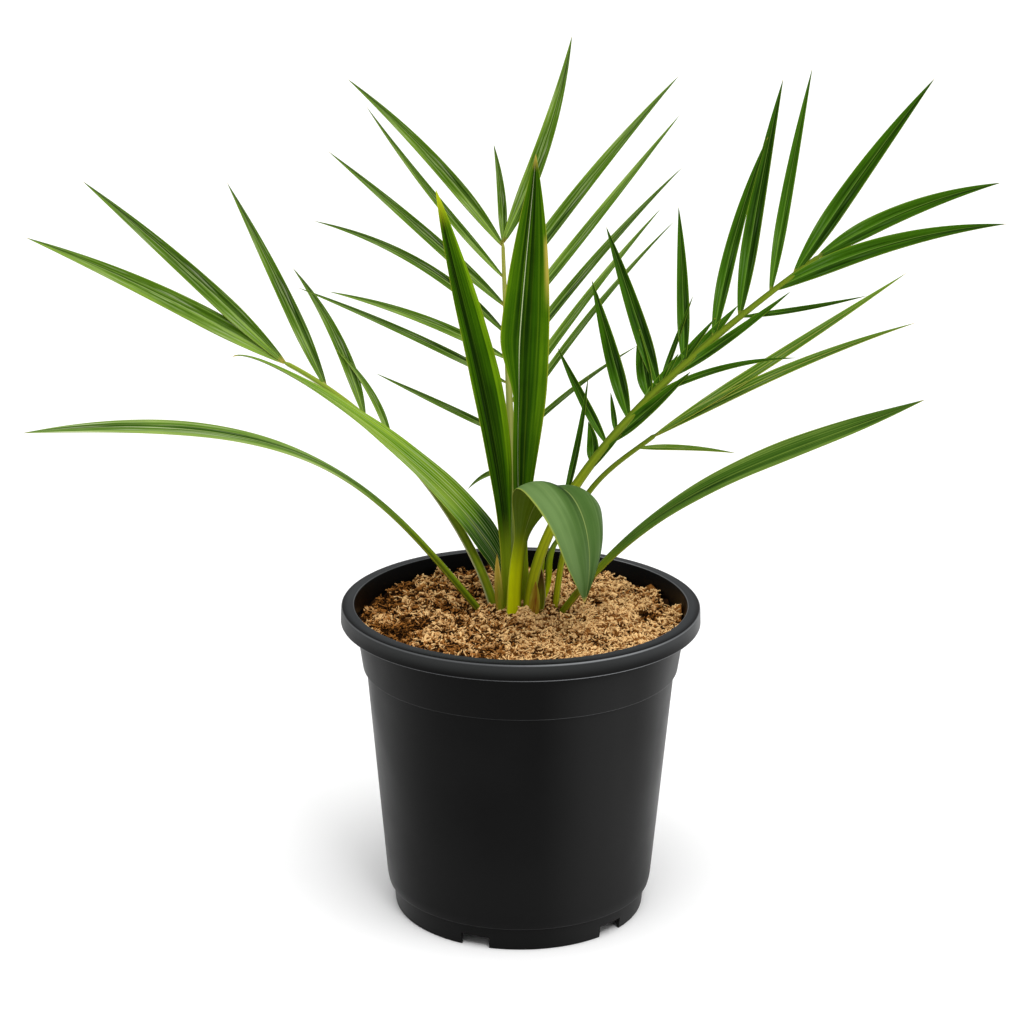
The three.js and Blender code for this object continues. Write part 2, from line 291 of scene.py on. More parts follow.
class Value:
    """The output of a node, which adds a node to its tree when it is reckoned with."""

    def __init__(self, graph: "Graph", socket: NodeSocket) -> None:
        """Takes the socket and the graph of its tree."""
        self.graph = graph
        self.socket = socket

    def math(self, operation: str, *others: object) -> "Value":
        """Returns the result of a Math node on this value and the others."""
        return self.graph.math(operation, self, *others)

    def __add__(self, other: object) -> "Value":
        """Returns the sum."""
        return self.math("ADD", other)

    def __sub__(self, other: object) -> "Value":
        """Returns the difference."""
        return self.math("SUBTRACT", other)

    def __rsub__(self, other: float) -> "Value":
        """Returns what is left of a plain number."""
        return self.graph.math("SUBTRACT", other, self)

    def __mul__(self, other: object) -> "Value":
        """Returns the product."""
        return self.math("MULTIPLY", other)

    def ramp(self, low: object, high: object, start: float = 0.0, end: float = 1.0,
             curve: str = "SMOOTHSTEP") -> "Value":
        """Maps the range low to high onto start to end, eased or straight."""
        inputs = {"Value": self, "From Min": low, "From Max": high, "To Min": start, "To Max": end}
        return self.graph.out("ShaderNodeMapRange", "Result", inputs, interpolation_type=curve)


class Graph:
    """Adds and links the nodes of one shader or geometry tree."""

    def __init__(self, tree: NodeTree) -> None:
        """Takes the tree that the nodes go into."""
        self.tree = tree

    def feed(self, socket: NodeSocket, value: object) -> None:
        """Links a socket to a value, or sets its plain value.

        Args:
            socket: the socket.
            value: a value of the same tree, or a plain one.
        """
        if isinstance(value, Value):
            self.tree.links.new(value.socket, socket)
        else:
            socket.default_value = value

    def node(self, kind: str, inputs: dict | None = None, **settings: object) -> Node:
        """Adds a node.

        Args:
            kind: the node's type name.
            inputs: a value for each named input.
            settings: the node's properties, set before its inputs.

        Returns:
            The new node.
        """
        made = self.tree.nodes.new(kind)
        for name, value in settings.items():
            setattr(made, name, value)
        for name, value in (inputs or {}).items():
            self.feed(open_socket(made.inputs, name), value)
        return made

    def out(self, kind: str, output: str, inputs: dict | None = None, **settings: object) -> Value:
        """Adds a node as node does, and returns its named output."""
        return Value(self, open_socket(self.node(kind, inputs, **settings).outputs, output))

    def outs(self, node: Node) -> dict[str, Value]:
        """Returns a node's outputs by their names."""
        return {socket.name: Value(self, socket) for socket in node.outputs}

    def _reckoned(self, kind: str, operation: str, values: tuple) -> Node:
        """Adds a node for an operation on the values.

        Args:
            kind: the node's type name.
            operation: what it does.
            values: its inputs, in order.

        Returns:
            The new node.
        """
        made = self.node(kind, operation=operation)
        for socket, value in zip(made.inputs, values):
            self.feed(socket, value)
        return made

    def math(self, operation: str, *values: object) -> Value:
        """Returns the result of an operation on numbers."""
        return Value(self, self._reckoned("ShaderNodeMath", operation, values).outputs[0])

    def vector(self, operation: str, *values: object) -> Value:
        """Returns the vector that an operation on vectors gives."""
        return Value(self, self._reckoned("ShaderNodeVectorMath", operation, values).outputs["Vector"])

    def length(self, vector: Value) -> Value:
        """Returns the length of a vector."""
        return Value(self, self._reckoned("ShaderNodeVectorMath", "LENGTH", (vector,)).outputs["Value"])

    def scaled(self, vector: object, factor: object) -> Value:
        """Returns the vector times a number.

        Args:
            vector: the vector.
            factor: the number.

        Returns:
            The longer or shorter vector.
        """
        made = self._reckoned("ShaderNodeVectorMath", "SCALE", (vector,))
        self.feed(open_socket(made.inputs, "Scale"), factor)
        return Value(self, made.outputs[0])

    def total(self, *vectors: Value) -> Value:
        """Returns the sum of the vectors.

        Args:
            vectors: two vectors or more.

        Returns:
            Their sum.
        """
        whole = vectors[0]
        for vector in vectors[1:]:
            whole = self.vector("ADD", whole, vector)
        return whole

    def split(self, vector: Value) -> list[Value]:
        """Returns the three parts of a vector."""
        return list(self.outs(self.node("ShaderNodeSeparateXYZ", {"Vector": vector})).values())

    def joined(self, x: object, y: object = 0.0, z: object = 0.0) -> Value:
        """Returns the vector with these parts."""
        return self.out("ShaderNodeCombineXYZ", "Vector", {"X": x, "Y": y, "Z": z})

    def mixed(self, share: object, first: object, second: object) -> Value:
        """Mixes two colours, each given as a value or as its hex code.

        Args:
            share: how much of the second there is.
            first: one colour.
            second: the other.

        Returns:
            The mixed colour.
        """
        made = self.node("ShaderNodeMix", data_type="RGBA")
        for name, value in (("Factor", share), ("A", first), ("B", second)):
            self.feed(open_socket(made.inputs, name), linear(value) if isinstance(value, str) else value)
        return Value(self, open_socket(made.outputs, "Result"))

    def noise(self, vector: Value, detail: float = 2.0, rough: float = 0.5) -> Value:
        """Returns a noise value from 0 to 1, with one cell to each unit of the vector."""
        inputs = {"Vector": vector, "Scale": 1.0, "Detail": detail, "Roughness": rough}
        return Value(self, self.node("ShaderNodeTexNoise", inputs).outputs[0])

    def attribute(self, name: str) -> Value:
        """Reads a piece's own attribute in a material."""
        return self.out("ShaderNodeAttribute", "Fac", attribute_name=name)

    def placed(self, group: NodeTree, inputs: dict) -> dict[str, Value]:
        """Places a node group with its own values and returns its outputs.

        Args:
            group: the group's tree.
            inputs: a value for each named input.

        Returns:
            Its outputs by their names.
        """
        made = self.node("ShaderNodeGroup", node_tree=group)
        for name, value in inputs.items():
            self.feed(made.inputs[name], value)
        return self.outs(made)


class Group(Graph):
    """A node group, and the values that it is given."""

    def __init__(self, kind: str, name: str, takes: dict, gives: dict) -> None:
        """Starts the group.

        Args:
            kind: the tree's type name.
            name: the group's name.
            takes: the socket type of each input, or its default number.
            gives: the socket type of each output.
        """
        super().__init__(bpy.data.node_groups.new(name, kind))
        for side, sockets in (("INPUT", takes), ("OUTPUT", gives)):
            for label, given in sockets.items():
                number = {int: "NodeSocketInt", float: FLOAT}.get(type(given))
                socket = self.tree.interface.new_socket(name=label, in_out=side, socket_type=number or given)
                if number:
                    socket.default_value = given
        self.given = self.outs(self.node("NodeGroupInput"))
        self.result = self.node("NodeGroupOutput")

    def finished(self, **outputs: Value) -> NodeTree:
        """Feeds the group's outputs and returns its tree.

        Args:
            outputs: the value of each named output.

        Returns:
            The finished tree.
        """
        for label, value in outputs.items():
            self.feed(self.result.inputs[label], value)
        return self.tree

    def kept(self, geometry: Value, name: str, value: Value, domain: str = "POINT",
             kind: str = "FLOAT") -> Value:
        """Stores a named attribute on the geometry."""
        inputs = {"Geometry": geometry, "Name": name, "Value": value}
        return self.out("GeometryNodeStoreNamedAttribute", "Geometry", inputs, domain=domain, data_type=kind)

    def read(self, name: str, kind: str = "FLOAT") -> Value:
        """Reads a named attribute of the geometry."""
        return self.out("GeometryNodeInputNamedAttribute", "Attribute", {"Name": name}, data_type=kind)

    def realised(self, geometry: Value) -> Value:
        """Turns the instances into a mesh."""
        return self.out("GeometryNodeRealizeInstances", "Geometry", {"Geometry": geometry})

    def dressed(self, geometry: Value) -> NodeTree:
        """Ends the tree in a plain mesh with the given material, and returns the tree."""
        inputs = {"Geometry": self.realised(geometry), "Material": self.given["Material"]}
        return self.finished(Geometry=self.out("GeometryNodeSetMaterial", "Geometry", inputs))


def leaf_marks() -> NodeTree:
    """Builds the group that marks a blade from its own UV map.

    Returns:
        The group, with a mask for each mark and the values Outness, Across and Along.
    """
    takes = {"UV": VECTOR, "Veins": 12.0, "Streaks": 5.0, "Midrib Place": 0.5, "Midrib Width": 0.06,
             "Margin Width": 0.08, "Tip Length": 0.03}
    names = ("Vein", "Furrow", "Streak", "Gloss", "Midrib", "Margin", "Tip", "Outness", "Across", "Along")
    group = Group("ShaderNodeTree", "leaf_marks", takes, dict.fromkeys(names, FLOAT))
    given = group.given
    across, along, _ = group.split(given["UV"])
    veins, streaks = given["Veins"], given["Streaks"]
    vein_cells, streak_cells, sheen_cells = 2.5, 1.4, 3.5
    waver, sheens_to_streak = 0.8, 2.4
    fine = group.noise(group.joined(across * veins, along * vein_cells), 2.0, 0.6)
    wave = ((across * veins + fine * waver) * math.tau).math("SINE")
    broad = group.noise(group.joined(across * streaks, along * streak_cells), 3.0, 0.55)
    # The cells of the painted sheen, a mask of pale highlight streaks along the blade.
    sheens = streaks * sheens_to_streak
    painted_sheen_mask = group.noise(group.joined(across * sheens, along * sheen_cells), 3.0, 0.6)
    from_midrib = ((across - given["Midrib Place"]) * 2.0).math("ABSOLUTE")
    outness = (across * 2.0 - 1.0).math("ABSOLUTE")
    return group.finished(
        Vein=wave.ramp(0.35, 1.0) * fine.ramp(0.3, 0.7),
        # Furrow marks the dark lines between the veins that take painted shade.
        Furrow=wave.ramp(-0.2, -1.0) * broad.ramp(0.65, 0.35),
        Streak=broad.ramp(0.32, 0.68),
        Gloss=painted_sheen_mask.ramp(0.5, 0.72),
        Midrib=1.0 - from_midrib.ramp(0.0, given["Midrib Width"]),
        Margin=outness.ramp(1.0 - given["Margin Width"], 1.0),
        Tip=along.ramp(1.0 - given["Tip Length"], 1.0),
        Outness=outness, Across=across, Along=along)


def fine_grain() -> NodeTree:
    """Builds the group that breaks up a finish.

    Returns:
        The group, with the values Patch and Grain.
    """
    takes = {"Vector": VECTOR, "Patch Scale": 20.0, "Grain Scale": 900.0}
    group = Group("ShaderNodeTree", "fine_grain", takes, {"Patch": FLOAT, "Grain": FLOAT})
    given = group.given
    return group.finished(
        Patch=group.noise(group.scaled(given["Vector"], given["Patch Scale"]), 3.0),
        Grain=group.noise(group.scaled(given["Vector"], given["Grain Scale"]), 2.0))


Span = tuple[float, ...]
"""Where a ramp starts and ends, and then what it gives there."""


@dataclass(frozen=True)
class ShaderKit:
    """The node groups that the finishes share."""

    marks: NodeTree
    grain: NodeTree


# Finishes


class Surface(Graph):
    """A material's tree, with one Principled shader."""

    def __init__(self, name: str, code: str) -> None:
        """Starts the material.

        Args:
            name: the material's name.
            code: the hex colour that it shows in a plain viewport.
        """
        self.material = bpy.data.materials.new(name)
        self.material.use_nodes = True
        self.material.diffuse_color = linear(code)
        super().__init__(self.material.node_tree)
        self.tree.nodes.clear()
        self.shader = self.node("ShaderNodeBsdfPrincipled")
        end = self.node("ShaderNodeOutputMaterial")
        self.tree.links.new(self.shader.outputs["BSDF"], end.inputs["Surface"])

    def grained(self, kit: ShaderKit, patch_scale: float,
                grain_scale: float) -> tuple[Value, dict[str, Value]]:
        """Reads the shared grain.

        Args:
            kit: the shared node groups.
            patch_scale: how many patches there are to a metre.
            grain_scale: how many grains there are to a metre.

        Returns:
            The place on the piece, and the grain there.
        """
        place = self.out("ShaderNodeTexCoord", "Object")
        inputs = {"Vector": place, "Patch Scale": patch_scale, "Grain Scale": grain_scale}
        return place, self.placed(kit.grain, inputs)

    def dressed(self, colour: object, roughness: object, specular: float = 0.5,
                bump: tuple[float, float, Value] | None = None) -> Material:
        """Sets the shader.

        Args:
            colour: its base colour.
            roughness: its roughness.
            specular: its specular level.
            bump: the strength, depth and height of its relief.

        Returns:
            The material.
        """
        inputs = {"Base Color": colour, "Roughness": roughness, "Specular IOR Level": specular}
        if bump is not None:
            relief = dict(zip(("Strength", "Distance", "Height"), bump))
            inputs["Normal"] = self.out("ShaderNodeBump", "Normal", relief)
        for name, value in inputs.items():
            self.feed(self.shader.inputs[name], value)
        return self.material


@dataclass(frozen=True)
class LeafFinish:
    """Satin leaf skin: veins, a pale midrib, yellow margins, painted shade along its fold and painted light
    outwards.

    A share says how strongly a mark or a change in tone shows.
    """

    name: str
    blade: str = "335c08"
    shade: str = "102702"
    light: str = "658519"
    under: str = "46651c"
    vein: str = "86a045"
    midrib: str = "84a040"
    margin: str = "a5a830"
    tip: str = "c9ab48"
    stalk_foot: str = "7f9018"
    stalk: str = "4f7a14"
    fleck: str = "5e401a"
    gloss: str = "b9c99c"
    veins: float = 11.0
    streaks: float = 5.0
    vein_share: float = 0.4
    furrow_share: float = 0.35
    painted_sheen_share: float = 0.0
    painted_sheen_span: tuple[float, float] = (0.05, 0.5)
    painted_sheen_fade: float = 0.6
    midrib_place: float = 0.5
    midrib_width: float = 0.05
    midrib_share: float = 0.5
    margin_width: float = 0.07
    margin_share: float = 0.6
    tip_length: float = 0.02
    shade_span: Span = (0.0, 0.5)
    light_span: Span = (0.45, 1.0)
    outward_light: float = 0.5
    outward_span: Span = (0.1, 0.95)
    outward_range: tuple[float, float] = (-0.4, 0.6)
    half_light: float = 0.0
    half_span: Span = (0.44, 0.56)
    base_dark: float = 0.0
    base_span: Span = (0.05, 0.45)
    scorch: float = 0.0
    scorch_colour: str = "c8aa50"
    scorch_from: Span = (0.66, 0.76)
    scorch_to: Span = (0.8, 0.84, 1.0, 0.0)
    scorch_edge: Span = (0.03, 0.14, 1.0, 0.0)
    tone_share: float = 0.4
    streak_share: float = 0.4
    patch_share: float = 0.16
    patch_span: Span = (0.3, 0.7)
    under_share: float = 0.8
    stalk_streak: float = 0.45
    stalk_edge_shade: float = 0.6
    stalk_edge_shade_span: Span = (0.5, 0.9)
    stalk_fade: float = 0.6
    roughness: float = 0.3
    rough_range: tuple[float, float] = (-0.05, 0.08)
    specular: float = 0.015
    fleck_share: float = 0.45
    fleck_span: Span = (0.55, 0.8)
    fleck_height: Span = (0.0, 0.2, 1.0, 0.0)
    patch_scale: float = 24.0
    grain_scale: float = 700.0
    grain_share: float = 0.15
    relief: float = 0.00012
    relief_strength: float = 0.7

    def _lit(self, surface: Surface, marks: dict[str, Value], patch: Value) -> Value:
        """Works out how light the blade is at each place: its own tone, painted shade along the fold, painted
        light outwards and on one half.

        Args:
            surface: the material's tree.
            marks: the blade's marks.
            patch: the soft patches.

        Returns:
            The lightness, from 0 to 1 and a little beyond.
        """
        lit = surface.attribute(TONE) * self.tone_share + marks["Streak"] * self.streak_share
        lit = lit + patch * self.patch_share
        # Painted shade along the fold, painted light towards the margins.
        outward = [share * self.outward_light for share in self.outward_range]
        lit = lit + marks["Outness"].ramp(*self.outward_span, *outward)
        lit = lit + marks["Along"].ramp(*self.base_span, -self.base_dark, 0.0)
        # Painted light on one half of the folded blade and painted shade on the other.
        if self.half_light:
            lit = lit + marks["Across"].ramp(*self.half_span, -self.half_light, self.half_light)
        return lit

    def _marked(self, surface: Surface, marks: dict[str, Value], colour: Value) -> Value:
        """Draws the furrows' painted shade, veins, a painted sheen, the midrib and a dry patch at the right
        edge, high up.

        Args:
            surface: the material's tree.
            marks: the blade's marks.
            colour: the blade's plain colour.

        Returns:
            The marked colour.
        """
        # The sheen is a painted highlight, faded in and out along the blade.
        start, end = self.painted_sheen_span
        along = marks["Along"]
        painted_sheen_mask = marks["Gloss"] * (along.ramp(0.0, start) * along.ramp(self.painted_sheen_fade * end, end, 1.0, 0.0))
        for mark, share, code in (
                (marks["Furrow"], self.furrow_share, self.shade), (marks["Vein"], self.vein_share, self.vein),
                (painted_sheen_mask, self.painted_sheen_share, self.gloss), (marks["Midrib"], self.midrib_share, self.midrib)):
            colour = surface.mixed(mark * share, colour, code)
        if self.scorch:
            high = along.ramp(*self.scorch_from) * along.ramp(*self.scorch_to)
            dry = high * marks["Across"].ramp(*self.scorch_edge) * self.scorch
            colour = surface.mixed(dry, colour, self.scorch_colour)
        return colour

    def _stalk_colour(self, surface: Surface, marks: dict[str, Value], patch: Value) -> Value:
        """Colours the stalk: paler to its foot, with painted shade towards its left edge and a few brown
        flecks.

        Args:
            surface: the material's tree.
            marks: the blade's marks.
            patch: the soft patches.

        Returns:
            The stalk's colour.
        """
        colour = surface.mixed(marks["Along"].ramp(0.0, self.stalk_fade), self.stalk_foot, self.stalk)
        colour = surface.mixed(marks["Streak"] * self.stalk_streak, colour, self.shade)
        # Painted shade on the stalk's left side, away from the light.
        edge = marks["Across"].ramp(*self.stalk_edge_shade_span, 0.0, self.stalk_edge_shade)
        colour = surface.mixed(edge, colour, self.shade)
        flecked = patch.ramp(*self.fleck_span) * marks["Along"].ramp(*self.fleck_height)
        return surface.mixed(flecked * self.fleck_share, colour, self.fleck)

    def build(self, kit: ShaderKit) -> Material:
        """Builds the material.

        Args:
            kit: the shared node groups.

        Returns:
            The material.
        """
        surface = Surface(self.name, self.blade)
        marks = surface.placed(kit.marks, {
            "UV": surface.out("ShaderNodeUVMap", "UV", uv_map=BLADE_UV), "Veins": self.veins,
            "Streaks": self.streaks, "Midrib Place": self.midrib_place, "Midrib Width": self.midrib_width,
            "Margin Width": self.margin_width, "Tip Length": self.tip_length})
        _, grain = surface.grained(kit, self.patch_scale, self.grain_scale)
        patch = grain["Patch"].ramp(*self.patch_span)
        lit = self._lit(surface, marks, patch)
        colour = surface.mixed(lit.ramp(*self.shade_span), self.shade, self.blade)
        colour = surface.mixed(lit.ramp(*self.light_span), colour, self.light)
        colour = surface.mixed(surface.attribute(UNDER) * self.under_share, colour, self.under)
        colour = self._marked(surface, marks, colour)
        colour = surface.mixed(surface.attribute(STALK), colour, self._stalk_colour(surface, marks, patch))
        colour = surface.mixed(marks["Margin"] * self.margin_share, colour, self.margin)
        colour = surface.mixed(marks["Tip"], colour, self.tip)
        rough = grain["Patch"].ramp(*self.patch_span, *[self.roughness + step for step in self.rough_range])
        height = marks["Vein"] + grain["Grain"] * self.grain_share
        return surface.dressed(colour, rough, self.specular, (self.relief_strength, self.relief, height))


class LeafKind(Enum):
    """The leaf skins of the plant."""

    STRAP = LeafFinish("strap_leaf", blade="3a5a18", shade="182f0a", light="627c32", tip="8a8a2c")
    NARROW_STRAP = LeafFinish(
        "narrow_strap_leaf", blade="527424", shade="26440a", light="88a050", vein="a8b46c", midrib="b0bc7c",
        tip="8a8a2c", gloss="ccd4ac", painted_sheen_share=0.6, painted_sheen_span=(0.9, 1.7), streaks=4.0, veins=6.0,
        vein_share=0.3, furrow_share=0.5, base_dark=0.5)
    UPRIGHT = LeafFinish(
        "upright_leaf", blade="2c5002", shade="0e2201", light="6a900c", vein="648c14", midrib="5c8a20",
        tip="b0bc1c", stalk_foot="8ca01c", stalk="5c8a18", streaks=7.0, vein_share=0.22, midrib_width=0.03,
        midrib_share=0.3, tip_length=0.1, stalk_streak=0.2, stalk_edge_shade=0.2, fleck_share=0.1, base_dark=0.25)
    FOLDED = LeafFinish(
        "folded_leaf", blade="2c5003", shade="0f2501", light="567c08", vein="7e9e1c", midrib="c6d0a0",
        tip="a8943c", stalk_foot="8ca01c", stalk="5c8a18", veins=8.0, streaks=7.0, vein_share=0.2,
        furrow_share=0.25, midrib_place=0.56, midrib_width=0.035, midrib_share=0.8, tip_length=0.04,
        stalk_streak=0.2, stalk_edge_shade=0.2, fleck_share=0.1, outward_light=0.3, scorch=0.65)
    PALE_STRAP = LeafFinish(
        "pale_strap_leaf", blade="5c8416", shade="1c4402", light="84a230", vein="d4daa0", midrib="b0bc64",
        margin="a0ac48", stalk_foot="406a0c", stalk="4f7d14", gloss="dfe6c0", veins=14.0, vein_share=0.5,
        painted_sheen_share=0.22, painted_sheen_span=(0.3, 0.9), outward_light=0.0, base_dark=0.1, relief=0.0002)
    LEAFLET = LeafFinish(
        "leaflet", blade="325808", shade="102602", light="5c8226", vein="5e8c2e", midrib="74983a",
        margin="7c922c", gloss="a4bc84", stalk_foot="b6ac48", stalk="b6ac48", veins=5.0, streaks=3.0,
        vein_share=0.18, furrow_share=0.3, midrib_width=0.1, midrib_share=0.45, margin_width=0.12,
        painted_sheen_share=0.15, painted_sheen_span=(0.06, 0.5), outward_light=0.15, half_light=0.12, base_dark=-0.2,
        stalk_streak=0.0, stalk_edge_shade=0.0)
    SILVERY_LEAFLET = LeafFinish(
        "silvery_leaflet", blade="446410", shade="183006", light="7e9c3a", vein="9cb464", midrib="a0b868",
        margin="849a38", gloss="c0caa0", stalk_foot="b6a048", stalk="b6a048", veins=5.0, streaks=3.0,
        vein_share=0.28, furrow_share=0.3, midrib_width=0.1, midrib_share=0.45, margin_width=0.12,
        painted_sheen_share=0.4, painted_sheen_span=(0.05, 1.1), outward_light=0.15, half_light=0.15, base_dark=-0.15,
        stalk_streak=0.0, stalk_edge_shade=0.0)
    YELLOW_LEAFLET = LeafFinish(
        "yellow_leaflet", blade="4c7018", shade="244408", light="7c9838", vein="a4b050", midrib="b0b454",
        margin="b2b244", gloss="c6cca0", stalk_foot="c4b448", stalk="c4b448", veins=4.0, streaks=3.0,
        vein_share=0.45, furrow_share=0.3, midrib_width=0.12, midrib_share=0.6, margin_width=0.15,
        painted_sheen_share=0.3, painted_sheen_span=(0.05, 0.9), outward_light=0.15, half_light=0.12, base_dark=-0.1,
        stalk_streak=0.0, stalk_edge_shade=0.0)
    RACHIS = LeafFinish(
        "green_rachis", stalk_foot="c4cc1e", stalk="6c7e1e", shade="2c440c", tip="56682a", margin="949c48",
        margin_width=0.25, stalk_streak=0.35, stalk_edge_shade=0.5, stalk_fade=0.45)
    CREAM_RACHIS = LeafFinish(
        "cream_rachis", stalk_foot="869818", stalk="8a9c34", shade="3c5810", margin="e2deb0",
        margin_width=0.35, tip="84973a")
    PALE_RACHIS = LeafFinish(
        "pale_rachis", stalk_foot="7a8a38", stalk="a6a85c", shade="5c7028", margin="b8b878",
        margin_width=0.2, tip="8e9040", tip_length=0.3, stalk_edge_shade=0.4)
    YOUNG = LeafFinish(
        "young_leaf", blade="44602c", shade="1f3610", light="607a46", under="566c0c", vein="7c9456",
        midrib="a4b068", margin="a8ad40", tip="d8c468", stalk_foot="ccd80c", stalk="a4bc10",
        vein_share=0.14, furrow_share=0.12, midrib_width=0.03, margin_width=0.04, tip_length=0.035,
        outward_light=0.3, stalk_streak=0.12, stalk_edge_shade=0.75, fleck_share=0.08, roughness=0.4)
    PAPERY = LeafFinish(
        "papery_bract", blade="b49a38", shade="98782a", light="c8b45c", under="a08038", vein="b07428",
        midrib="d8c878", margin="a8802c", tip="6a4a22", stalk_foot="66780e", stalk="84902a", veins=4.0,
        vein_share=0.3, tip_length=0.1, roughness=0.6)
    SHEATH = LeafFinish(
        "stained_sheath", blade="a88c28", shade="7c4018", light="b4b03a", under="7a6020", vein="8a3c1c",
        midrib="a89838", margin="98a02c", tip="a88c3c", stalk_foot="98a02c", stalk="a09828", veins=4.0,
        vein_share=0.6, roughness=0.6)
    HUSK = LeafFinish(
        "brown_husk", blade="5a3e1c", shade="2e1c0c", light="7c5a30", under="4a3018", vein="8c6a3c",
        midrib="6a4c28", margin="d8cc9c", tip="b09c6c", stalk_foot="7c8c14", stalk="7a7a24", veins=5.0,
        margin_width=0.3, tip_length=0.1, roughness=0.65)


@dataclass(frozen=True)
class PotFinish:
    """Matt black moulded plastic with a fine grain, dusty patches, and painted highlights, light and shade.

    An edge is given by its radius, height and reach. The heights, radii and places of the spans
    are in metres, as the shader reads them.
    """

    name: str = "pot_plastic"
    colour: str = "030303"
    dusty: str = "0e0e0e"
    # Lighter towards the foot.
    foot_tint: str = "121212"
    # Painted shade under the rim.
    under_rim: str = "010101"
    # The rim's face painted lighter as lit, lighter still to the right; the rim's top painted lighter.
    painted_rim_face: str = "2c2d2d"
    painted_rim_face_lit: str = "343536"
    painted_rim_top: str = "292b2d"
    # The painted highlight along the listed edges.
    edge: str = "8a8c8e"
    edges: tuple[tuple[float, float, float], ...] = (
        (127.0, 226.3, 0.9), (127.3, 214.8, 0.7), (117.9, 227.4, 0.6), (111.9, 181.3, 0.26),
        (94.4, 17.6, 0.28))
    edge_reach: tuple[float, float] = (0.2, 1.4)
    # Painted light on the right front of the body.
    painted_lit_side: str = "1b1b1b"
    dust_span: Span = (0.35, 0.75)
    dust_share: float = 0.5
    foot_height: Span = (0.03, 0.12, 0.6, 0.0)
    lit_from: Span = (0.01, 0.055)
    lit_to: Span = (0.065, 0.09, 1.0, 0.0)
    under_rim_shade_height: Span = (0.204, 0.214, 0.0, 0.75)
    rim_face_radius: Span = (0.1262, 0.1268)
    rim_face_height: Span = (0.2155, 0.225)
    rim_lit: Span = (0.03, 0.125)
    rim_top_height: Span = (0.2266, 0.2271)
    edge_right: Span = (0.07, 0.11, 1.0, 0.55)
    edge_lit: Span = (-0.03, 0.05, 0.36, 0.996)
    patch_scale: float = 14.0
    grain_scale: float = 1600.0
    roughness: float = 0.36
    rough_span: Span = (0.3, 0.7)
    rough_range: tuple[float, float] = (-0.04, 0.08)
    specular: float = 0.065
    relief: float = 0.00004
    relief_strength: float = 0.5

    def _edge_highlights(self, surface: Surface, radius: Value, height: Value) -> Value:
        """Marks the edges that carry a painted highlight.

        Args:
            surface: the material's tree.
            radius: each place's distance from the pot's axis.
            height: each place's height.

        Returns:
            A mask round each listed edge.
        """
        mask = None
        for edge_radius, edge_height, reach in self.edges:
            away = surface.length(surface.joined(radius - edge_radius * MM, height - edge_height * MM))
            near = away.ramp(*[share * reach * MM for share in self.edge_reach], 1.0, 0.0)
            mask = near if mask is None else mask.math("MAXIMUM", near)
        return mask

    def build(self, kit: ShaderKit) -> Material:
        """Builds the material.

        Args:
            kit: the shared node groups.

        Returns:
            The material.
        """
        surface = Surface(self.name, self.colour)
        place, grain = surface.grained(kit, self.patch_scale, self.grain_scale)
        x, y, height = surface.split(place)
        radius = surface.length(surface.joined(x, y))
        face = radius.ramp(*self.rim_face_radius) * height.ramp(*self.rim_face_height)
        dust = grain["Patch"].ramp(*self.dust_span) * self.dust_share
        colour = surface.mixed(dust, self.colour, self.dusty)
        # The lighter foot, then painted light on the right side, painted shade under the rim, and painted
        # light on the rim's face and top.
        for share, code in (
                (height.ramp(*self.foot_height), self.foot_tint),
                (x.ramp(*self.lit_from) * x.ramp(*self.lit_to), self.painted_lit_side),
                (height.ramp(*self.under_rim_shade_height), self.under_rim),
                (face, surface.mixed(x.ramp(*self.rim_lit), self.painted_rim_face, self.painted_rim_face_lit)),
                (height.ramp(*self.rim_top_height), self.painted_rim_top)):
            colour = surface.mixed(share, colour, code)
        # Painted highlights on the edges, brightest on the right front.
        lit = x.ramp(*self.edge_right) * x.ramp(*self.edge_lit)
        colour = surface.mixed(self._edge_highlights(surface, radius, height) * lit, colour, self.edge)
        rough = grain["Patch"].ramp(*self.rough_span, *[self.roughness + step for step in self.rough_range])
        relief = (self.relief_strength, self.relief, grain["Grain"])
        return surface.dressed(colour, rough, self.specular, relief)


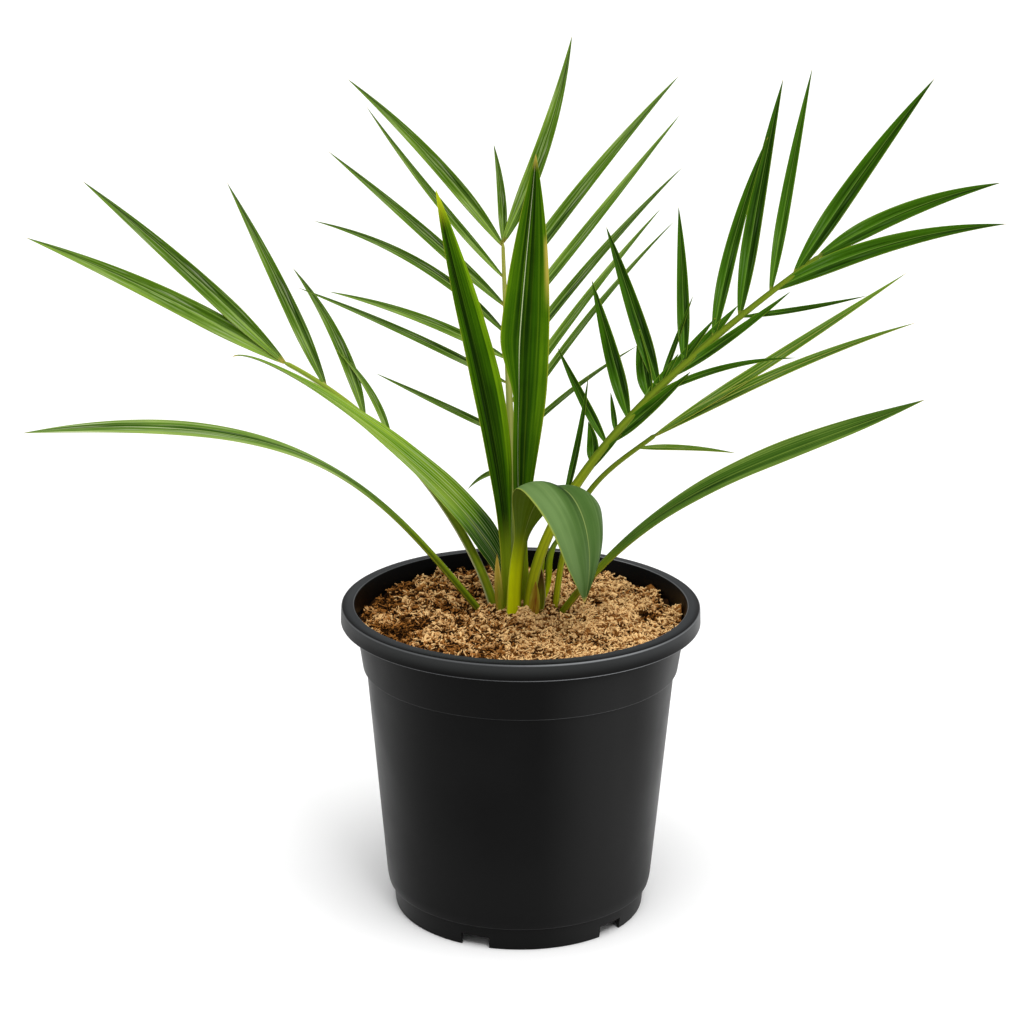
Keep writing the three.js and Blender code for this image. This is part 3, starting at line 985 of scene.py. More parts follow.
@dataclass(frozen=True)
class BarkFinish:
    """Shredded bark and coir, each shred in its own tone of brown, with painted shade low in the hollows and
    towards the left.
    """

    name: str = "bark_mix"
    dark: str = "221104"
    brown: str = "5a3611"
    tan: str = "a46c32"
    pale: str = "ecc488"
    stops: tuple[float, ...] = (0.0, 0.25, 0.65, 1.0)
    tone_span: Span = (0.0, 1.0, -0.12, 1.16)
    patch_span: Span = (0.3, 0.7, -0.24, 0.2)
    # Painted shade low in the hollows, a little painted light on the highs.
    hollow_shade_span: Span = (0.211, 0.2185, -0.3, 0.1)
    # Painted shade towards the left, a little painted light towards the right.
    left_shade_span: Span = (-0.07, 0.05, -0.24, 0.12)
    fibre_span: Span = (0.45, 0.7)
    fibre_share: float = 0.3
    patch_scale: float = 55.0
    grain_scale: float = 1300.0
    roughness: float = 0.9
    specular: float = 0.05
    relief: float = 0.0003
    relief_strength: float = 0.8

    def build(self, kit: ShaderKit) -> Material:
        """Builds the material.

        Args:
            kit: the shared node groups.

        Returns:
            The material.
        """
        surface = Surface(self.name, self.brown)
        place, grain = surface.grained(kit, self.patch_scale, self.grain_scale)
        x, _, height = surface.split(place)
        lit = surface.attribute(TONE).ramp(*self.tone_span, "LINEAR")
        lit = lit + grain["Patch"].ramp(*self.patch_span, "LINEAR")
        # Painted shade in the hollows and towards the left.
        lit = lit + height.ramp(*self.hollow_shade_span) + x.ramp(*self.left_shade_span)
        tones = surface.node("ShaderNodeValToRGB", {"Fac": lit})
        for _ in self.stops[2:]:
            tones.color_ramp.elements.new(0.5)
        browns = (self.dark, self.brown, self.tan, self.pale)
        for element, stop, code in zip(tones.color_ramp.elements, self.stops, browns):
            element.position = stop
            element.color = linear(code)
        fibre = grain["Grain"].ramp(*self.fibre_span) * self.fibre_share
        colour = surface.mixed(fibre, surface.outs(tones)["Color"], self.dark)
        relief = (self.relief_strength, self.relief, grain["Grain"])
        return surface.dressed(colour, self.roughness, self.specular, relief)


# Lines, skins and leaves


@dataclass(frozen=True)
class Frames:
    """Places along a stem's line, each with its directions along, across and out of the face."""

    centre: np.ndarray
    along: np.ndarray
    across: np.ndarray
    face: np.ndarray


@dataclass(frozen=True)
class StemLine:
    """The line that a stem follows from its foot. The arc lists the reach and rise of its steering points."""

    foot: tuple[float, float]
    heading: float
    arc: tuple[tuple[float, float], ...]
    roll: float
    twist: float = 0.0
    samples: int = 600

    def at(self, shares: np.ndarray) -> Frames:
        """Reads the line.

        Args:
            shares: shares of its length.

        Returns:
            The place and directions at each share.
        """
        angle = math.radians(self.heading)
        outward = np.array([math.cos(angle), math.sin(angle), 0.0])
        start = np.array([*self.foot, SOIL_LEVEL])
        p0, p1, p2, p3 = [start] + [start + outward * reach + UP * rise for reach, rise in self.arc]
        t = np.linspace(0, 1, self.samples)[:, None]
        place = (1 - t) ** 3 * p0 + 3 * (1 - t) ** 2 * t * p1 + 3 * (1 - t) * t * t * p2 + t ** 3 * p3
        tangent = unit((1 - t) ** 2 * (p1 - p0) + 2 * (1 - t) * t * (p2 - p1) + t * t * (p3 - p2))
        run = np.concatenate([[0.0], np.cumsum(np.linalg.norm(np.diff(place, axis=0), axis=1))])
        shares = np.asarray(shares, float)

        def read(values: np.ndarray) -> np.ndarray:
            """Reads closely spaced vectors at the shares."""
            return np.stack([np.interp(shares * run[-1], run, values[:, axis]) for axis in range(3)], -1)

        along = unit(read(tangent))
        level = np.broadcast_to(np.cross(UP, outward), along.shape)
        across = turned(level, along, self.roll + self.twist * shares)
        return Frames(read(place), along, across, np.cross(along, across))


@dataclass(frozen=True)
class Section:
    """The places across a blade that a ring runs through: over its top, then back underneath."""

    columns: int = 23

    @property
    def across(self) -> np.ndarray:
        """The place of each point, from -1 at the right edge to 1 at the left."""
        top = np.sin(np.linspace(-math.pi / 2, math.pi / 2, self.columns))
        return np.concatenate([top, top[-2:0:-1]])

    @property
    def upper(self) -> np.ndarray:
        """1 for a point on the top and -1 for one underneath."""
        return np.concatenate([np.ones(self.columns), -np.ones(self.columns - 2)])

    @property
    def roundness(self) -> np.ndarray:
        """The share of the full thickness that a round section has at each point."""
        return np.sqrt(np.clip(1 - self.across ** 2, 0, 1))

    def rings(self, frames: Frames, half: np.ndarray, rise: np.ndarray, sink: float) -> np.ndarray:
        """Places the rings of a leaf.

        Args:
            frames: the directions at each ring.
            half: the half width at each ring and point.
            rise: how far each point lies above the line.
            sink: how far an extra first ring lies below the foot.

        Returns:
            The points, ring by ring.
        """
        rings = (frames.centre[:, None] + frames.across[:, None] * (self.across * half)[..., None]
                 + frames.face[:, None] * rise[..., None])
        return np.concatenate([rings[:1] - frames.along[:1, None] * sink, rings])


def skin(name: str, rings: np.ndarray, tip: np.ndarray, section: Section, shares: np.ndarray,
         stalk: np.ndarray, tone: float | np.ndarray) -> Mesh:
    """Makes a closed skin over rings, from a flat foot to a pointed tip.

    Args:
        name: the mesh's name.
        rings: ring by ring, the points round the blade.
        tip: the point that closes it.
        section: the columns of each ring.
        shares: each ring's place along the blade.
        stalk: how far each ring is a stalk, from 0 to 1.
        tone: how light the blade is, from 0 to 1, in all or point by point.

    Returns:
        The mesh, with the blade's UV map and the attributes tone, stalk and under.
    """
    count, sides = rings.shape[:2]
    faces = [tuple(range(sides))]
    for ring in range(count - 1):
        faces += band(ring * sides, (ring + 1) * sides, sides)
    faces += fan((count - 1) * sides, count * sides, sides)
    mesh = new_mesh(name, np.concatenate([rings.reshape(-1, 3), tip[None]]), faces)
    grid = np.stack(np.broadcast_arrays((section.across[None] + 1) / 2, shares[:, None]), -1).reshape(-1, 2)
    grid = np.concatenate([grid, [[0.5, 1.0]]])
    corners = np.empty(len(mesh.loops), int)
    mesh.loops.foreach_get("vertex_index", corners)
    mesh.uv_layers.new(name=BLADE_UV).data.foreach_set("uv", grid[corners].ravel())
    store(mesh, STALK, np.append(np.repeat(stalk, sides), stalk[-1]))
    store(mesh, UNDER, np.append(np.tile((1 - section.upper) / 2, count), 0.0))
    store(mesh, TONE, np.append(np.broadcast_to(tone, (count, sides)).ravel(), 0.5))
    mesh.validate()
    return face_out(mesh)


@dataclass(frozen=True)
class Strap:
    """An undivided leaf: a stalk that opens into a creased blade with a soft keel and pointed tip.

    A valley is a strip of painted shade, given by its place across, width, depth and end along the leaf.
    """

    name: str
    node: str
    line: StemLine
    stem: float
    stem_thickness: float
    width: float
    blade_from: float
    widest: float
    kind: LeafKind = LeafKind.STRAP
    slot: str = "leaf"
    taper: float = 1.0
    fold_share: float = 0.3
    lobe: tuple[float, float] | None = None
    lobe_share: float = 0.85
    gull: float = 0.0
    gull_level: float = 0.4
    pleat: float = 0.3
    pleats: float = 4.0
    wave: float = 0.012
    waves: float = 5.0
    wave_turn: float = -0.2
    tone: float = 0.5
    painted_left_half: float = 0.0
    shade_valleys: tuple[tuple[float, float, float, float], ...] = ()
    channel: float = 0.0
    stalk_to: float = 0.3
    rings: int = 110
    blade_thickness: float = 0.9
    edge_thickness: float = 0.45
    keel_softness: float = 0.14
    keel_blend: float = 0.06
    fade_from: float = 0.6
    stalk_from: float = 0.4
    rounding: tuple[float, float] = (1.0, 1.6)
    sink: float = 6.0

    def _half_widths(self, shares: np.ndarray) -> tuple[np.ndarray, np.ndarray]:
        """Returns the left and right half widths at the shares.

        Args:
            shares: shares of the leaf's length.

        Returns:
            The left and the right half widths.
        """
        opened = smoothstep(shares, self.blade_from, self.widest)
        beyond = np.clip((shares - self.widest) / (1 - self.widest), 0, 1)
        right = lerp(self.stem, self.width, opened) * (1 - beyond ** 2) ** self.taper / 2
        if self.lobe is None:
            return right, right
        return lerp(self.stem / 2, self.lobe_share * right, smoothstep(shares, *self.lobe)), right

    def _tones(self, across: np.ndarray, shares: np.ndarray) -> np.ndarray:
        """Paints the leaf's tone, with painted light on its left half (painted shade below zero) and painted
        shade in its valleys.

        Args:
            across: each point's place across the blade.
            shares: each ring's place along it.

        Returns:
            How light each point is, ring by ring.
        """
        # The left half takes painted light, or painted shade when its share is below zero.
        left = smoothstep(across, -self.keel_blend, self.keel_blend)
        tones = self.tone + self.painted_left_half * left + np.zeros((len(shares), 1))
        for place, width, depth, end in self.shade_valleys:
            fade = 1 - smoothstep(shares, self.fade_from * end, end)
            tones = tones - depth * np.exp(-((across - place) / width) ** 2) * fade[:, None]
        return tones

    def _rise(self, across: np.ndarray, half: np.ndarray, blade: np.ndarray) -> np.ndarray:
        """Folds and pleats the blade.

        Args:
            across: each point's place across it.
            half: its half width there.
            blade: how far each ring is a blade, from 0 to 1.

        Returns:
            How far each point of its middle surface lies above the line.
        """
        out = np.abs(across)
        soft = self.keel_softness
        crease = (np.sqrt(out ** 2 + soft ** 2) - soft) / (math.sqrt(1 + soft ** 2) - soft)
        fold = (self.fold_share + self.channel * (1 - blade)) * blade * half
        hump = self.gull * blade * half * (4 * out * (1 - out) - self.gull_level)
        pleating = self.pleat * np.cos(across * self.pleats * math.pi) * (half / self.width)
        return fold * (crease - 0.5) + hump + pleating * blade * (1 - out ** 4)

    def build(self, kit: dict[LeafKind, Material]) -> None:
        """Builds the leaf.

        Args:
            kit: the material of each leaf kind.
        """
        section = Section()
        shares = np.linspace(0, 1, self.rings + 1)[:-1]
        left, right = self._half_widths(shares)
        across, roundness = section.across[None], section.roundness
        blade = smoothstep(shares, 0, self.widest)[:, None]
        half = np.where(across > 0, left[:, None], right[:, None])
        middle = lerp(self.stem_thickness, self.blade_thickness, blade)
        edge = self.edge_thickness * blade
        thickness = edge * roundness ** 0.5 + (middle - edge) * roundness ** lerp(*self.rounding, blade)
        swing = np.sin(shares * self.waves * math.tau)[:, None] * np.abs(across) ** 2
        swing = swing * np.sign(across - self.wave_turn)
        rise = self._rise(across, half, blade)
        rise = rise + self.wave * self.width * swing * blade * np.sqrt(1 - shares)[:, None]
        rise = rise + section.upper[None] * thickness / 2
        rings = section.rings(self.line.at(shares), half, rise, self.sink)
        stalk = 1 - smoothstep(shares, self.stalk_from * self.stalk_to, self.stalk_to)
        shares = np.append(0.0, shares)
        mesh = skin(self.name, rings, self.line.at([1.0]).centre[0], section, shares,
                    np.append(1.0, stalk), self._tones(section.across, shares))
        settle(new_object(self.name, mesh, kit[self.kind]), self.slot, *filter(None, [self.node]))


@dataclass(frozen=True)
class Leaflet:
    """A leaflet: where it leaves the rachis, on which side, its length, spread, width and sideways bow."""

    at: float
    side: int
    length: float
    spread: float
    width: float
    bow: float = 0.0


def leaflet_row() -> NodeTree:
    """Builds the tree that grows a leaflet from each point, along the directions that the point carries.

    Returns:
        The geometry tree, whose named inputs set the blade's grid, fold, sag and outline.
    """
    takes = {"Geometry": GEOMETRY, "Columns": 9, "Rings": 36, "Fold": 0.3, "Sag": 0.04, "Roundness": 0.8,
             "Widest": 0.3, "Root Width": 0.16, "Taper": 1.8, "Stalk Length": 0.03, "Fold Curve": 1.2,
             "Material": MATERIAL}
    group = Group("GeometryNodeTree", "leaflet_row", takes, {"Geometry": GEOMETRY})
    given = group.given
    grid = group.outs(group.node("GeometryNodeMeshGrid", {
        "Size X": 2.0, "Size Y": 1.0, "Vertices X": given["Columns"], "Vertices Y": given["Rings"]}))
    x, y, _ = group.split(group.out("GeometryNodeInputPosition", "Position"))
    blade = group.kept(grid["Mesh"], "across", x)
    blade = group.kept(blade, "share", y + 0.5)
    blade = group.kept(blade, BLADE_UV, grid["UV Map"], "CORNER", "FLOAT2")
    points = group.out("GeometryNodeMeshToPoints", "Points", {"Mesh": given["Geometry"]})
    placed = group.out("GeometryNodeInstanceOnPoints", "Instances", {"Points": points, "Instance": blade})
    blades = group.realised(placed)

    share, across, turn = group.read("share"), group.read("across"), group.read("turn")
    vectors = [group.read(name, "FLOAT_VECTOR") for name in ("root", "heading", "span", "size")]
    root, heading, span, size = vectors
    length, width, bow = group.split(size)
    widest, root_width, sag = given["Widest"], given["Root Width"], given["Sag"]
    quarter = share.ramp(0.0, widest, 0.0, math.pi / 2, "LINEAR")
    opened = quarter.math("SINE").math("POWER", given["Roundness"])
    beyond = (share - widest).math("DIVIDE", 1.0 - widest).math("MAXIMUM", 0.0)
    outline = (root_width + (1.0 - root_width) * opened) * (1.0 - beyond.math("POWER", given["Taper"]))
    half = width * outline
    run = length * share
    bowed = bow * 4.0 * (share * (1.0 - share))
    tangent = group.vector("NORMALIZE", group.total(heading, group.scaled(tuple(UP), sag * share * -2.0)))
    face = group.vector("NORMALIZE", group.vector("CROSS_PRODUCT", tangent, span))
    turned_by = turn * share
    cosine, sine = turned_by.math("COSINE"), turned_by.math("SINE")
    side = group.total(group.scaled(span, cosine), group.scaled(face, sine))
    out = group.total(group.scaled(face, cosine), group.scaled(span, sine * -1.0))
    rise = given["Fold"] * half * (across.math("ABSOLUTE").math("POWER", given["Fold Curve"]) - 0.5)
    place = group.total(
        root, group.scaled(heading, run), group.scaled(span, bowed),
        group.scaled(tuple(-UP), sag * run * share), group.scaled(side, half * across),
        group.scaled(out, rise))
    shaped = group.out("GeometryNodeSetPosition", "Geometry", {"Geometry": blades, "Position": place})
    shaped = group.kept(shaped, STALK, 1.0 - share.ramp(0.0, given["Stalk Length"]))
    merged = group.out("GeometryNodeMergeByDistance", "Geometry", {"Geometry": shaped, "Distance": WELD})
    return group.dressed(group.out("GeometryNodeSetShadeSmooth", "Geometry", {"Geometry": merged}))


@dataclass(frozen=True)
class Frond:
    """A feather-shaped leaf: a channelled rachis with leaflets on both sides."""

    name: str
    node: str
    line: StemLine
    stem: float
    tip_stem: float
    lift: float
    sag_share: float
    leaflets: tuple[Leaflet, ...]
    slot: str = "leaf"
    rachis: LeafKind = LeafKind.RACHIS
    blade: LeafKind = LeafKind.LEAFLET
    seed: int = 1
    rachis_depth: float = 0.85
    rachis_above: float = 0.32
    rachis_below: float = 0.68
    rachis_columns: int = 9
    rachis_rings: int = 70
    blade_thickness: float = 0.5
    fold_share: float = 0.3
    loose_turn: float = 14.0
    tones: tuple[float, float] = (0.15, 0.95)
    sink: float = 6.0

    def _rachis(self) -> Mesh:
        """Builds the stalk and rachis, flat above and full below.

        Returns:
            The closed mesh.
        """
        section = Section(self.rachis_columns)
        shares = np.linspace(0, 1, self.rachis_rings + 1)[:-1]
        width = lerp(self.stem, self.tip_stem, shares)[:, None]
        depth = self.rachis_depth * width * section.roundness
        rise = np.where(section.upper[None] > 0, self.rachis_above * depth, -self.rachis_below * depth)
        rings = section.rings(self.line.at(shares), width / 2, rise, self.sink)
        end = self.line.at([1.0])
        return skin(self.name + "_rachis", rings, end.centre[0] + end.along[0] * self.tip_stem, section,
                    np.append(0.0, shares), np.ones(len(shares) + 1), 0.5)

    def _seeds(self) -> Mesh:
        """Builds one point for each leaflet, with what the geometry tree needs to grow it.

        Returns:
            The points, with the attributes root, heading, span, size, turn and tone.
        """
        chance = np.random.default_rng(self.seed)
        frames = self.line.at([leaflet.at for leaflet in self.leaflets])
        side = np.array([leaflet.side for leaflet in self.leaflets], float)
        spread = np.radians([leaflet.spread for leaflet in self.leaflets])[:, None]
        lift = math.radians(self.lift)
        outward = frames.across * (side * math.cos(lift))[:, None] + frames.face * math.sin(lift)
        heading = frames.along * np.cos(spread) + outward * np.sin(spread)
        size = np.array([(leaf.length, leaf.width / 2, leaf.bow * leaf.side) for leaf in self.leaflets]) * MM
        turn = np.radians(chance.uniform(-self.loose_turn, self.loose_turn, len(side)))
        tone = chance.uniform(*self.tones, len(side))
        mesh = new_mesh(self.name + "_seeds", frames.centre, [])
        for label, values in (("root", frames.centre * MM), ("heading", heading), ("size", size),
                              ("span", unit(np.cross(frames.face, heading))), ("turn", turn), (TONE, tone)):
            store(mesh, label, values)
        return mesh

    def build(self, kit: dict[LeafKind, Material], row: NodeTree) -> None:
        """Builds the rachis and its leaflets.

        Args:
            kit: the material of each leaf kind.
            row: the tree that grows the leaflets.
        """
        rachis = new_object(self.name + "_rachis", self._rachis(), kit[self.rachis])
        leaflets = new_object(self.name + "_leaflets", self._seeds())
        grow(leaflets, row, {"Fold": self.fold_share, "Sag": self.sag_share, "Material": kit[self.blade]})
        wall = leaflets.modifiers.new("thickness", "SOLIDIFY")
        wall.thickness = self.blade_thickness * MM
        wall.offset = 0.0
        settle(plain(leaflets), self.slot, self.node)
        settle(rachis, self.slot)


# Pot and bark mix


@dataclass(frozen=True)
class NurseryPot:
    """A round tapered pot with a folded rim, a wide band under it and a notched foot ring.

    Each corner that shows outside is given as its radius and height.
    """

    name: str = "nursery_pot"
    wall: float = 2.0
    disc_radius: float = 60.0
    gutter_roof: float = 8.6
    foot_radius: float = 89.7
    foot_top: tuple[float, float] = (91.6, 17.2)
    step: tuple[float, float] = (94.4, 17.6)
    body_base: tuple[float, float] = (95.6, 23.0)
    body_top: tuple[float, float] = (109.5, 180.8)
    band_base: tuple[float, float] = (111.9, 181.3)
    band_top: tuple[float, float] = (117.0, 216.3)
    rim_base: tuple[float, float] = (127.3, 214.8)
    rim_shoulder: tuple[float, float] = (126.8, 226.6)
    lip: tuple[float, float] = (117.9, 227.4)
    notch_headings: tuple[float, ...] = (-110.0, -44.0, 30.0, 103.0, 176.0)
    notch_width: float = 20.5
    notch_height: float = 8.6
    drain_count: int = 5
    drain_radius: float = 5.0
    drain_circle: float = 75.0
    drain_heading: float = -77.0
    drain_drill: float = 12.0
    drill_sides: int = 32
    segments: int = 180
    arc_steps: int = 4
    longest_arc: float = 0.45
    crisp_angle: float = 38.0

    def inner_radius(self, height: float) -> float:
        """Reads the inner wall above the foot.

        Args:
            height: the height.

        Returns:
            Its radius there.
        """
        base, top = self.body_base, self.body_top
        if height > top[1]:
            base, top = top, (self.band_top[0], self.rim_base[1])
        return lerp(base[0], top[0], (height - base[1]) / (top[1] - base[1])) - self.wall

    def _corners(self) -> list[tuple[float, float, float]]:
        """Returns the radius, height and rounding of each corner of the wall's outline.

        Returns:
            The corners, from the middle of the underside round to the middle of the floor.
        """
        wall, foot, roof = self.wall, self.foot_radius, self.gutter_roof
        floor, under_rim = roof + wall, self.rim_base[0] - wall
        return [
            (0, 0, 0), (self.disc_radius, 0, 0.8), (self.disc_radius, roof, 0.8), (foot - wall, roof, 0.8),
            (foot - wall, 0, 0.5), (foot, 0, 0.9), (*self.foot_top, 0.4), (*self.step, 0.9),
            (*self.body_base, 3.0), (*self.body_top, 0.15), (*self.band_base, 0.7), (*self.band_top, 1.5),
            (under_rim, self.rim_shoulder[1] - wall, 1.0), (under_rim, self.rim_base[1], 0.5),
            (*self.rim_base, 0.8), (*self.rim_shoulder, 1.6), (*self.lip, 1.0),
            (self.inner_radius(self.rim_base[1]), self.rim_base[1], 4.0),
            (self.inner_radius(self.body_top[1]), self.body_top[1], 2.0),
            (self.inner_radius(self.body_base[1]), self.body_base[1], 2.0),
            (self.foot_top[0] - wall, self.foot_top[1], 0.5), (foot - wall, floor, 1.5),
            (self.disc_radius - wall, floor, 0.8), (self.disc_radius - wall, wall, 0.8), (0, wall, 0),
        ]

    def _outline(self) -> list[tuple[float, float]]:
        """Returns the wall's outline with its corners rounded.

        Returns:
            The radius and height of each point.
        """
        corners = self._corners()
        outline = [corners[0][:2]]
        for before, corner, after in zip(corners, corners[1:], corners[2:]):
            middle = np.array(corner[:2])
            back, ahead = np.array(before[:2]) - middle, np.array(after[:2]) - middle
            longest = min(np.linalg.norm(back), np.linalg.norm(ahead))
            reach = min(corner[2], self.longest_arc * longest)
            start, end = middle + unit(back) * reach, middle + unit(ahead) * reach
            for t in np.linspace(0, 1, self.arc_steps + 1):
                outline.append(tuple((1 - t) ** 2 * start + 2 * (1 - t) * t * middle + t * t * end))
        return outline + [corners[-1][:2]]

    def _turned(self) -> Mesh:
        """Turns the outline about the pot's axis into a closed wall.

        Returns:
            The wall's mesh.
        """
        (_, underside), *rings, (_, inside) = self._outline()
        count = self.segments
        points = [point for radius, height in rings for point in circle(radius, count, height)]
        points += [(0, 0, underside), (0, 0, inside)]
        pairs = [(step, (step + 1) % count) for step in range(count)]
        last = (len(rings) - 1) * count
        faces = [(base + step, base + after, base + count + after, base + count + step)
                 for base in range(0, last, count) for step, after in pairs]
        for step, after in pairs:
            faces += [(len(points) - 2, after, step), (len(points) - 1, last + step, last + after)]
        return new_mesh(self.name, points, faces)

    def _cutters(self) -> Object:
        """Builds the blocks and drills that cut the notches and drain holes.

        Returns:
            One object that holds them all.
        """
        work = bmesh.new()
        tall, drill = 2 * self.notch_height * MM, self.drain_radius * MM
        block = Matrix.Diagonal((tall, self.notch_width * MM, tall, 1))
        foot = Matrix.Translation((self.foot_radius * MM, 0, 0))
        for heading in self.notch_headings:
            turn = Matrix.Rotation(math.radians(heading), 4, "Z")
            bmesh.ops.create_cube(work, size=1.0, matrix=turn @ foot @ block)
        drain = Matrix.Translation((self.drain_circle * MM, 0, self.gutter_roof * MM))
        for hole in range(self.drain_count):
            turn = Matrix.Rotation(math.radians(self.drain_heading + 360 / self.drain_count * hole), 4, "Z")
            bmesh.ops.create_cone(
                work, cap_ends=True, segments=self.drill_sides, radius1=drill, radius2=drill,
                depth=self.drain_drill * MM, matrix=turn @ drain)
        mesh = bpy.data.meshes.new("pot_cutters")
        work.to_mesh(mesh)
        work.free()
        return new_object("pot_cutters", mesh)

    def build(self, material: Material) -> None:
        """Builds the pot.

        Args:
            material: the plastic.
        """
        pot = new_object(self.name, self._turned(), material)
        cutters = self._cutters()
        cut = pot.modifiers.new("notches", "BOOLEAN")
        cut.object = cutters
        cut.solver = "EXACT"
        plain(pot)
        bpy.data.objects.remove(cutters)
        face_out(pot.data).set_sharp_from_angle(angle=math.radians(self.crisp_angle))
        settle(pot, "pot", "pot")


CHIP_INPUTS = ("Radius", "Width", "Thickness", "Sweep", "Tilt", "Low", "High", "Steps", "Seed")


class ChipShape(Enum):
    """The kinds of piece in the bark mix: how many there are, and the values of their tree's inputs."""

    FLAKE = (4200, 4.4, 1.6, 0.5, 34.0, 50.0, 0.35, 1.9, 3, 3)
    SHRED = (6600, 4.0, 0.6, 0.4, 60.0, 36.0, 0.4, 1.7, 3, 7)
    CRUMB = (5400, 1.7, 1.0, 0.7, 42.0, 70.0, 0.4, 1.6, 3, 31)
    CURL = (2000, 1.5, 0.7, 0.35, 190.0, 60.0, 0.5, 1.6, 6, 11)
    FIBRE = (2900, 7.0, 0.45, 0.35, 55.0, 20.0, 0.4, 1.3, 5, 23)

    def inputs(self, area: float, material: Material) -> dict:
        """Works out the tree's inputs, in metres and radians.

        Args:
            area: the area that is strewn.
            material: the bark's material.

        Returns:
            The value of each named input.
        """
        count, *values = self.value
        inputs = dict(zip(CHIP_INPUTS, values))
        inputs |= {name: inputs[name] * MM for name in ("Radius", "Width", "Thickness")}
        inputs |= {name: math.radians(inputs[name]) for name in ("Sweep", "Tilt")}
        return inputs | {"Density": count / area, "Material": material}


def chip_scatter() -> NodeTree:
    """Builds the tree that strews bent chips over a surface.

    Returns:
        The geometry tree, whose named inputs set the number, size, bend, tilt and seed of the chips.
    """
    takes = {"Geometry": GEOMETRY, "Density": FLOAT, "Material": MATERIAL}
    takes |= {name: "NodeSocketInt" if name in ("Steps", "Seed") else FLOAT for name in CHIP_INPUTS}
    group = Group("GeometryNodeTree", "chip_scatter", takes, {"Geometry": GEOMETRY})
    given = group.given

    def chance(low: object, high: object, kind: str = "FLOAT") -> Value:
        """Returns a random value for each point, between low and high."""
        inputs = {"Min": low, "Max": high, "Seed": given["Seed"]}
        return group.out("FunctionNodeRandomValue", "Value", inputs, data_type=kind)

    strewn = {"Mesh": given["Geometry"], "Density": given["Density"], "Seed": given["Seed"]}
    points = group.out("GeometryNodeDistributePointsOnFaces", "Points", strewn, distribute_method="RANDOM")
    arc = group.out("GeometryNodeCurveArc", "Curve", {
        "Resolution": given["Steps"], "Radius": given["Radius"], "Start Angle": given["Sweep"] * -0.5,
        "Sweep Angle": given["Sweep"]})
    centred = group.out("GeometryNodeSetPosition", "Geometry", {
        "Geometry": arc, "Offset": group.joined(given["Radius"] * -1.0)})
    profile = group.out("GeometryNodeCurvePrimitiveQuadrilateral", "Curve", {
        "Width": given["Thickness"], "Height": given["Width"]})
    chip = group.out("GeometryNodeCurveToMesh", "Mesh", {
        "Curve": centred, "Profile Curve": profile, "Fill Caps": True})
    tilt, lean = given["Tilt"], given["Tilt"] * -1.0
    euler = chance(group.joined(lean, lean), group.joined(tilt, tilt, math.tau), "FLOAT_VECTOR")
    placed = group.out("GeometryNodeInstanceOnPoints", "Instances", {
        "Points": points, "Instance": chip, "Scale": chance(given["Low"], given["High"]),
        "Rotation": group.out("FunctionNodeEulerToRotation", "Rotation", {"Euler": euler})})
    return group.dressed(group.kept(placed, TONE, chance(0.0, 1.0), "INSTANCE"))


